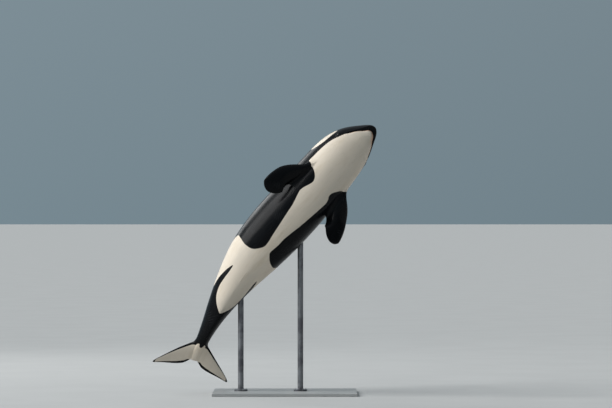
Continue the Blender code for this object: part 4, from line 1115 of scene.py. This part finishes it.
def boltTree():
    tree = bpy.data.node_groups.new("footBolts", "GeometryNodeTree")
    for name in ("Ring Radius", "Bolt Radius", "Bolt Height", "Washer Radius"):
        tree.interface.new_socket(name, in_out="INPUT", socket_type="NodeSocketFloat")
    tree.interface.new_socket("Count", in_out="INPUT", socket_type="NodeSocketInt")
    tree.interface.new_socket("Geometry", in_out="OUTPUT", socket_type="NodeSocketGeometry")
    given = makeNode(tree, "NodeGroupInput").outputs
    ring = makeNode(tree, "GeometryNodeMeshCircle", {"Vertices": given["Count"],
                                                     "Radius": given["Ring Radius"]})
    parts = makeNode(tree, "GeometryNodeJoinGeometry")
    for sides, wide, tall, lift in bolts["pieces"]:
        top = mathNode(tree, "MULTIPLY", given[wide], bolts["taper"])
        depth = given[tall] if tall else bolts["washerHeight"]
        head = makeNode(tree, "GeometryNodeMeshCone", {"Vertices": sides, "Radius Bottom": given[wide],
                                                       "Radius Top": top, "Depth": depth})
        place = makeNode(tree, "GeometryNodeTransform", {"Geometry": head.outputs["Mesh"],
                                                         "Translation": (0.0, 0.0, lift)})
        tree.links.new(place.outputs["Geometry"], parts.inputs["Geometry"])
    start = (bolts["frontX"], 0.0, bolts["footTop"])
    step = (bolts["rearX"] - bolts["frontX"], 0.0, 0.0)
    feet = makeNode(tree, "GeometryNodeMeshLine", {"Count": 2, "Start Location": start, "Offset": step})
    piece = parts.outputs["Geometry"]
    for places in (ring, feet):
        inputs = {"Points": places.outputs["Mesh"], "Instance": piece}
        piece = makeNode(tree, "GeometryNodeInstanceOnPoints", inputs).outputs["Instances"]
    real = makeNode(tree, "GeometryNodeRealizeInstances", {"Geometry": piece}).outputs["Geometry"]
    painted = makeNode(tree, "GeometryNodeSetMaterial", {"Geometry": real, "Material": boltFinish})
    makeNode(tree, "NodeGroupOutput", {"Geometry": painted.outputs["Geometry"]})
    return tree


maker = addObject("footBoltsMaker", bpy.data.meshes.new("footBoltsMaker"))
modifier = maker.modifiers.new("bolts", "NODES")
modifier.node_group = boltTree()
for item in modifier.node_group.interface.items_tree:
    if item.in_out == "INPUT" and item.name in bolts:
        modifier[item.identifier] = bolts[item.name]
bpy.context.view_layer.update()
boltMesh = bpy.data.meshes.new_from_object(maker.evaluated_get(bpy.context.evaluated_depsgraph_get()))
maker.modifiers.remove(modifier)
bpy.data.objects.remove(maker)
boltPiece = addObject("footBolts", boltMesh, boltFinish)
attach(boltPiece, "root")
print("bolts:", len(boltMesh.polygons), "faces")

# floor, light and camera

room = {
    "floor": (0.44, 0.44, 0.43), "floorDarker": 0.965, "floorSize": 6000.0,
    "skyHigh": (0.52, 0.57, 0.61), "skyLow": (0.20, 0.27, 0.31), "skyLeft": 1.30, "skyRight": 0.45,
    "sunFrom": (-0.80, -0.22, 0.60), "sunWidth": 50.0, "sunPower": 3.5,
    "sheenAt": (-10.0, 14.0, 12.5), "sheenSize": 10.0, "sheenPower": 700.0, "aim": (0.0, 0.0, 3.0),
}

floorFinish, floorTree = newMaterial("paleFloor")
floorCloud = noiseTexture(floorTree, objectCoordinates(floorTree), 0.6, 4.0)
floorTint = mixColor(floorTree, ramp(floorTree, floorCloud, 0.35, 0.65), room["floor"],
                     tuple(room["floorDarker"] * c for c in room["floor"]))
dress(floorTree, {"Base Color": floorTint, "Roughness": 0.75})
half = room["floorSize"] / 2.0
floorMesh = bpy.data.meshes.new("paleFloor")
floorMesh.from_pydata([(-half, -half, 0.0), (half, -half, 0.0), (half, half, 0.0), (-half, half, 0.0)], [],
                      [(0, 1, 2, 3)])
addObject("paleFloor", floorMesh, floorFinish)


def addLamp(name, kind, power, direction, **settings):
    lamp = bpy.data.lights.new(name, kind)
    lamp.energy = power
    for key, value in settings.items():
        setattr(lamp, key, value)
    item = addObject(name, lamp)
    item.rotation_euler = Vector(direction).to_track_quat("Z", "Y").to_euler()
    return item


addLamp("softSun", "SUN", room["sunPower"], room["sunFrom"], angle=math.radians(room["sunWidth"]))
sheen = addLamp("sheenLamp", "AREA", room["sheenPower"], Vector(room["sheenAt"]) - Vector(room["aim"]),
                shape="DISK", size=room["sheenSize"])
sheen.location = room["sheenAt"]


def makeSky():      # paler overhead than at the horizon, and brighter on the left
    world = bpy.data.worlds.new("studio")
    world.use_nodes = True
    tree = world.node_tree
    way = makeNode(tree, "ShaderNodeTexCoord").outputs["Generated"]
    split = makeNode(tree, "ShaderNodeSeparateXYZ", {0: way}).outputs
    color = mixColor(tree, split["Z"], room["skyLow"], room["skyHigh"])
    strength = ramp(tree, split["X"], -1.0, 1.0, room["skyLeft"], room["skyRight"], "LINEAR")
    feed(tree, tree.nodes["Background"], {"Color": color, "Strength": strength})
    bpy.context.scene.world = world


makeSky()
bpy.context.scene.view_settings.view_transform = "Standard"

lens = {"at": (0.409, -60.0, 3.37), "pitch": 0.316, "focalPixels": 3080.0, "photoWidth": 612.0,
        "sensor": 36.0}
camera = bpy.data.cameras.new("photoCamera")
camera.lens = lens["focalPixels"] / lens["photoWidth"] * lens["sensor"]
camera.sensor_width = lens["sensor"]
camera.clip_end = 5000.0
bpy.context.scene.camera = addObject("photoCamera", camera)
bpy.context.scene.camera.location = lens["at"]
bpy.context.scene.camera.rotation_euler = (math.radians(90.0 + lens["pitch"]), 0.0, 0.0)
print("room done")
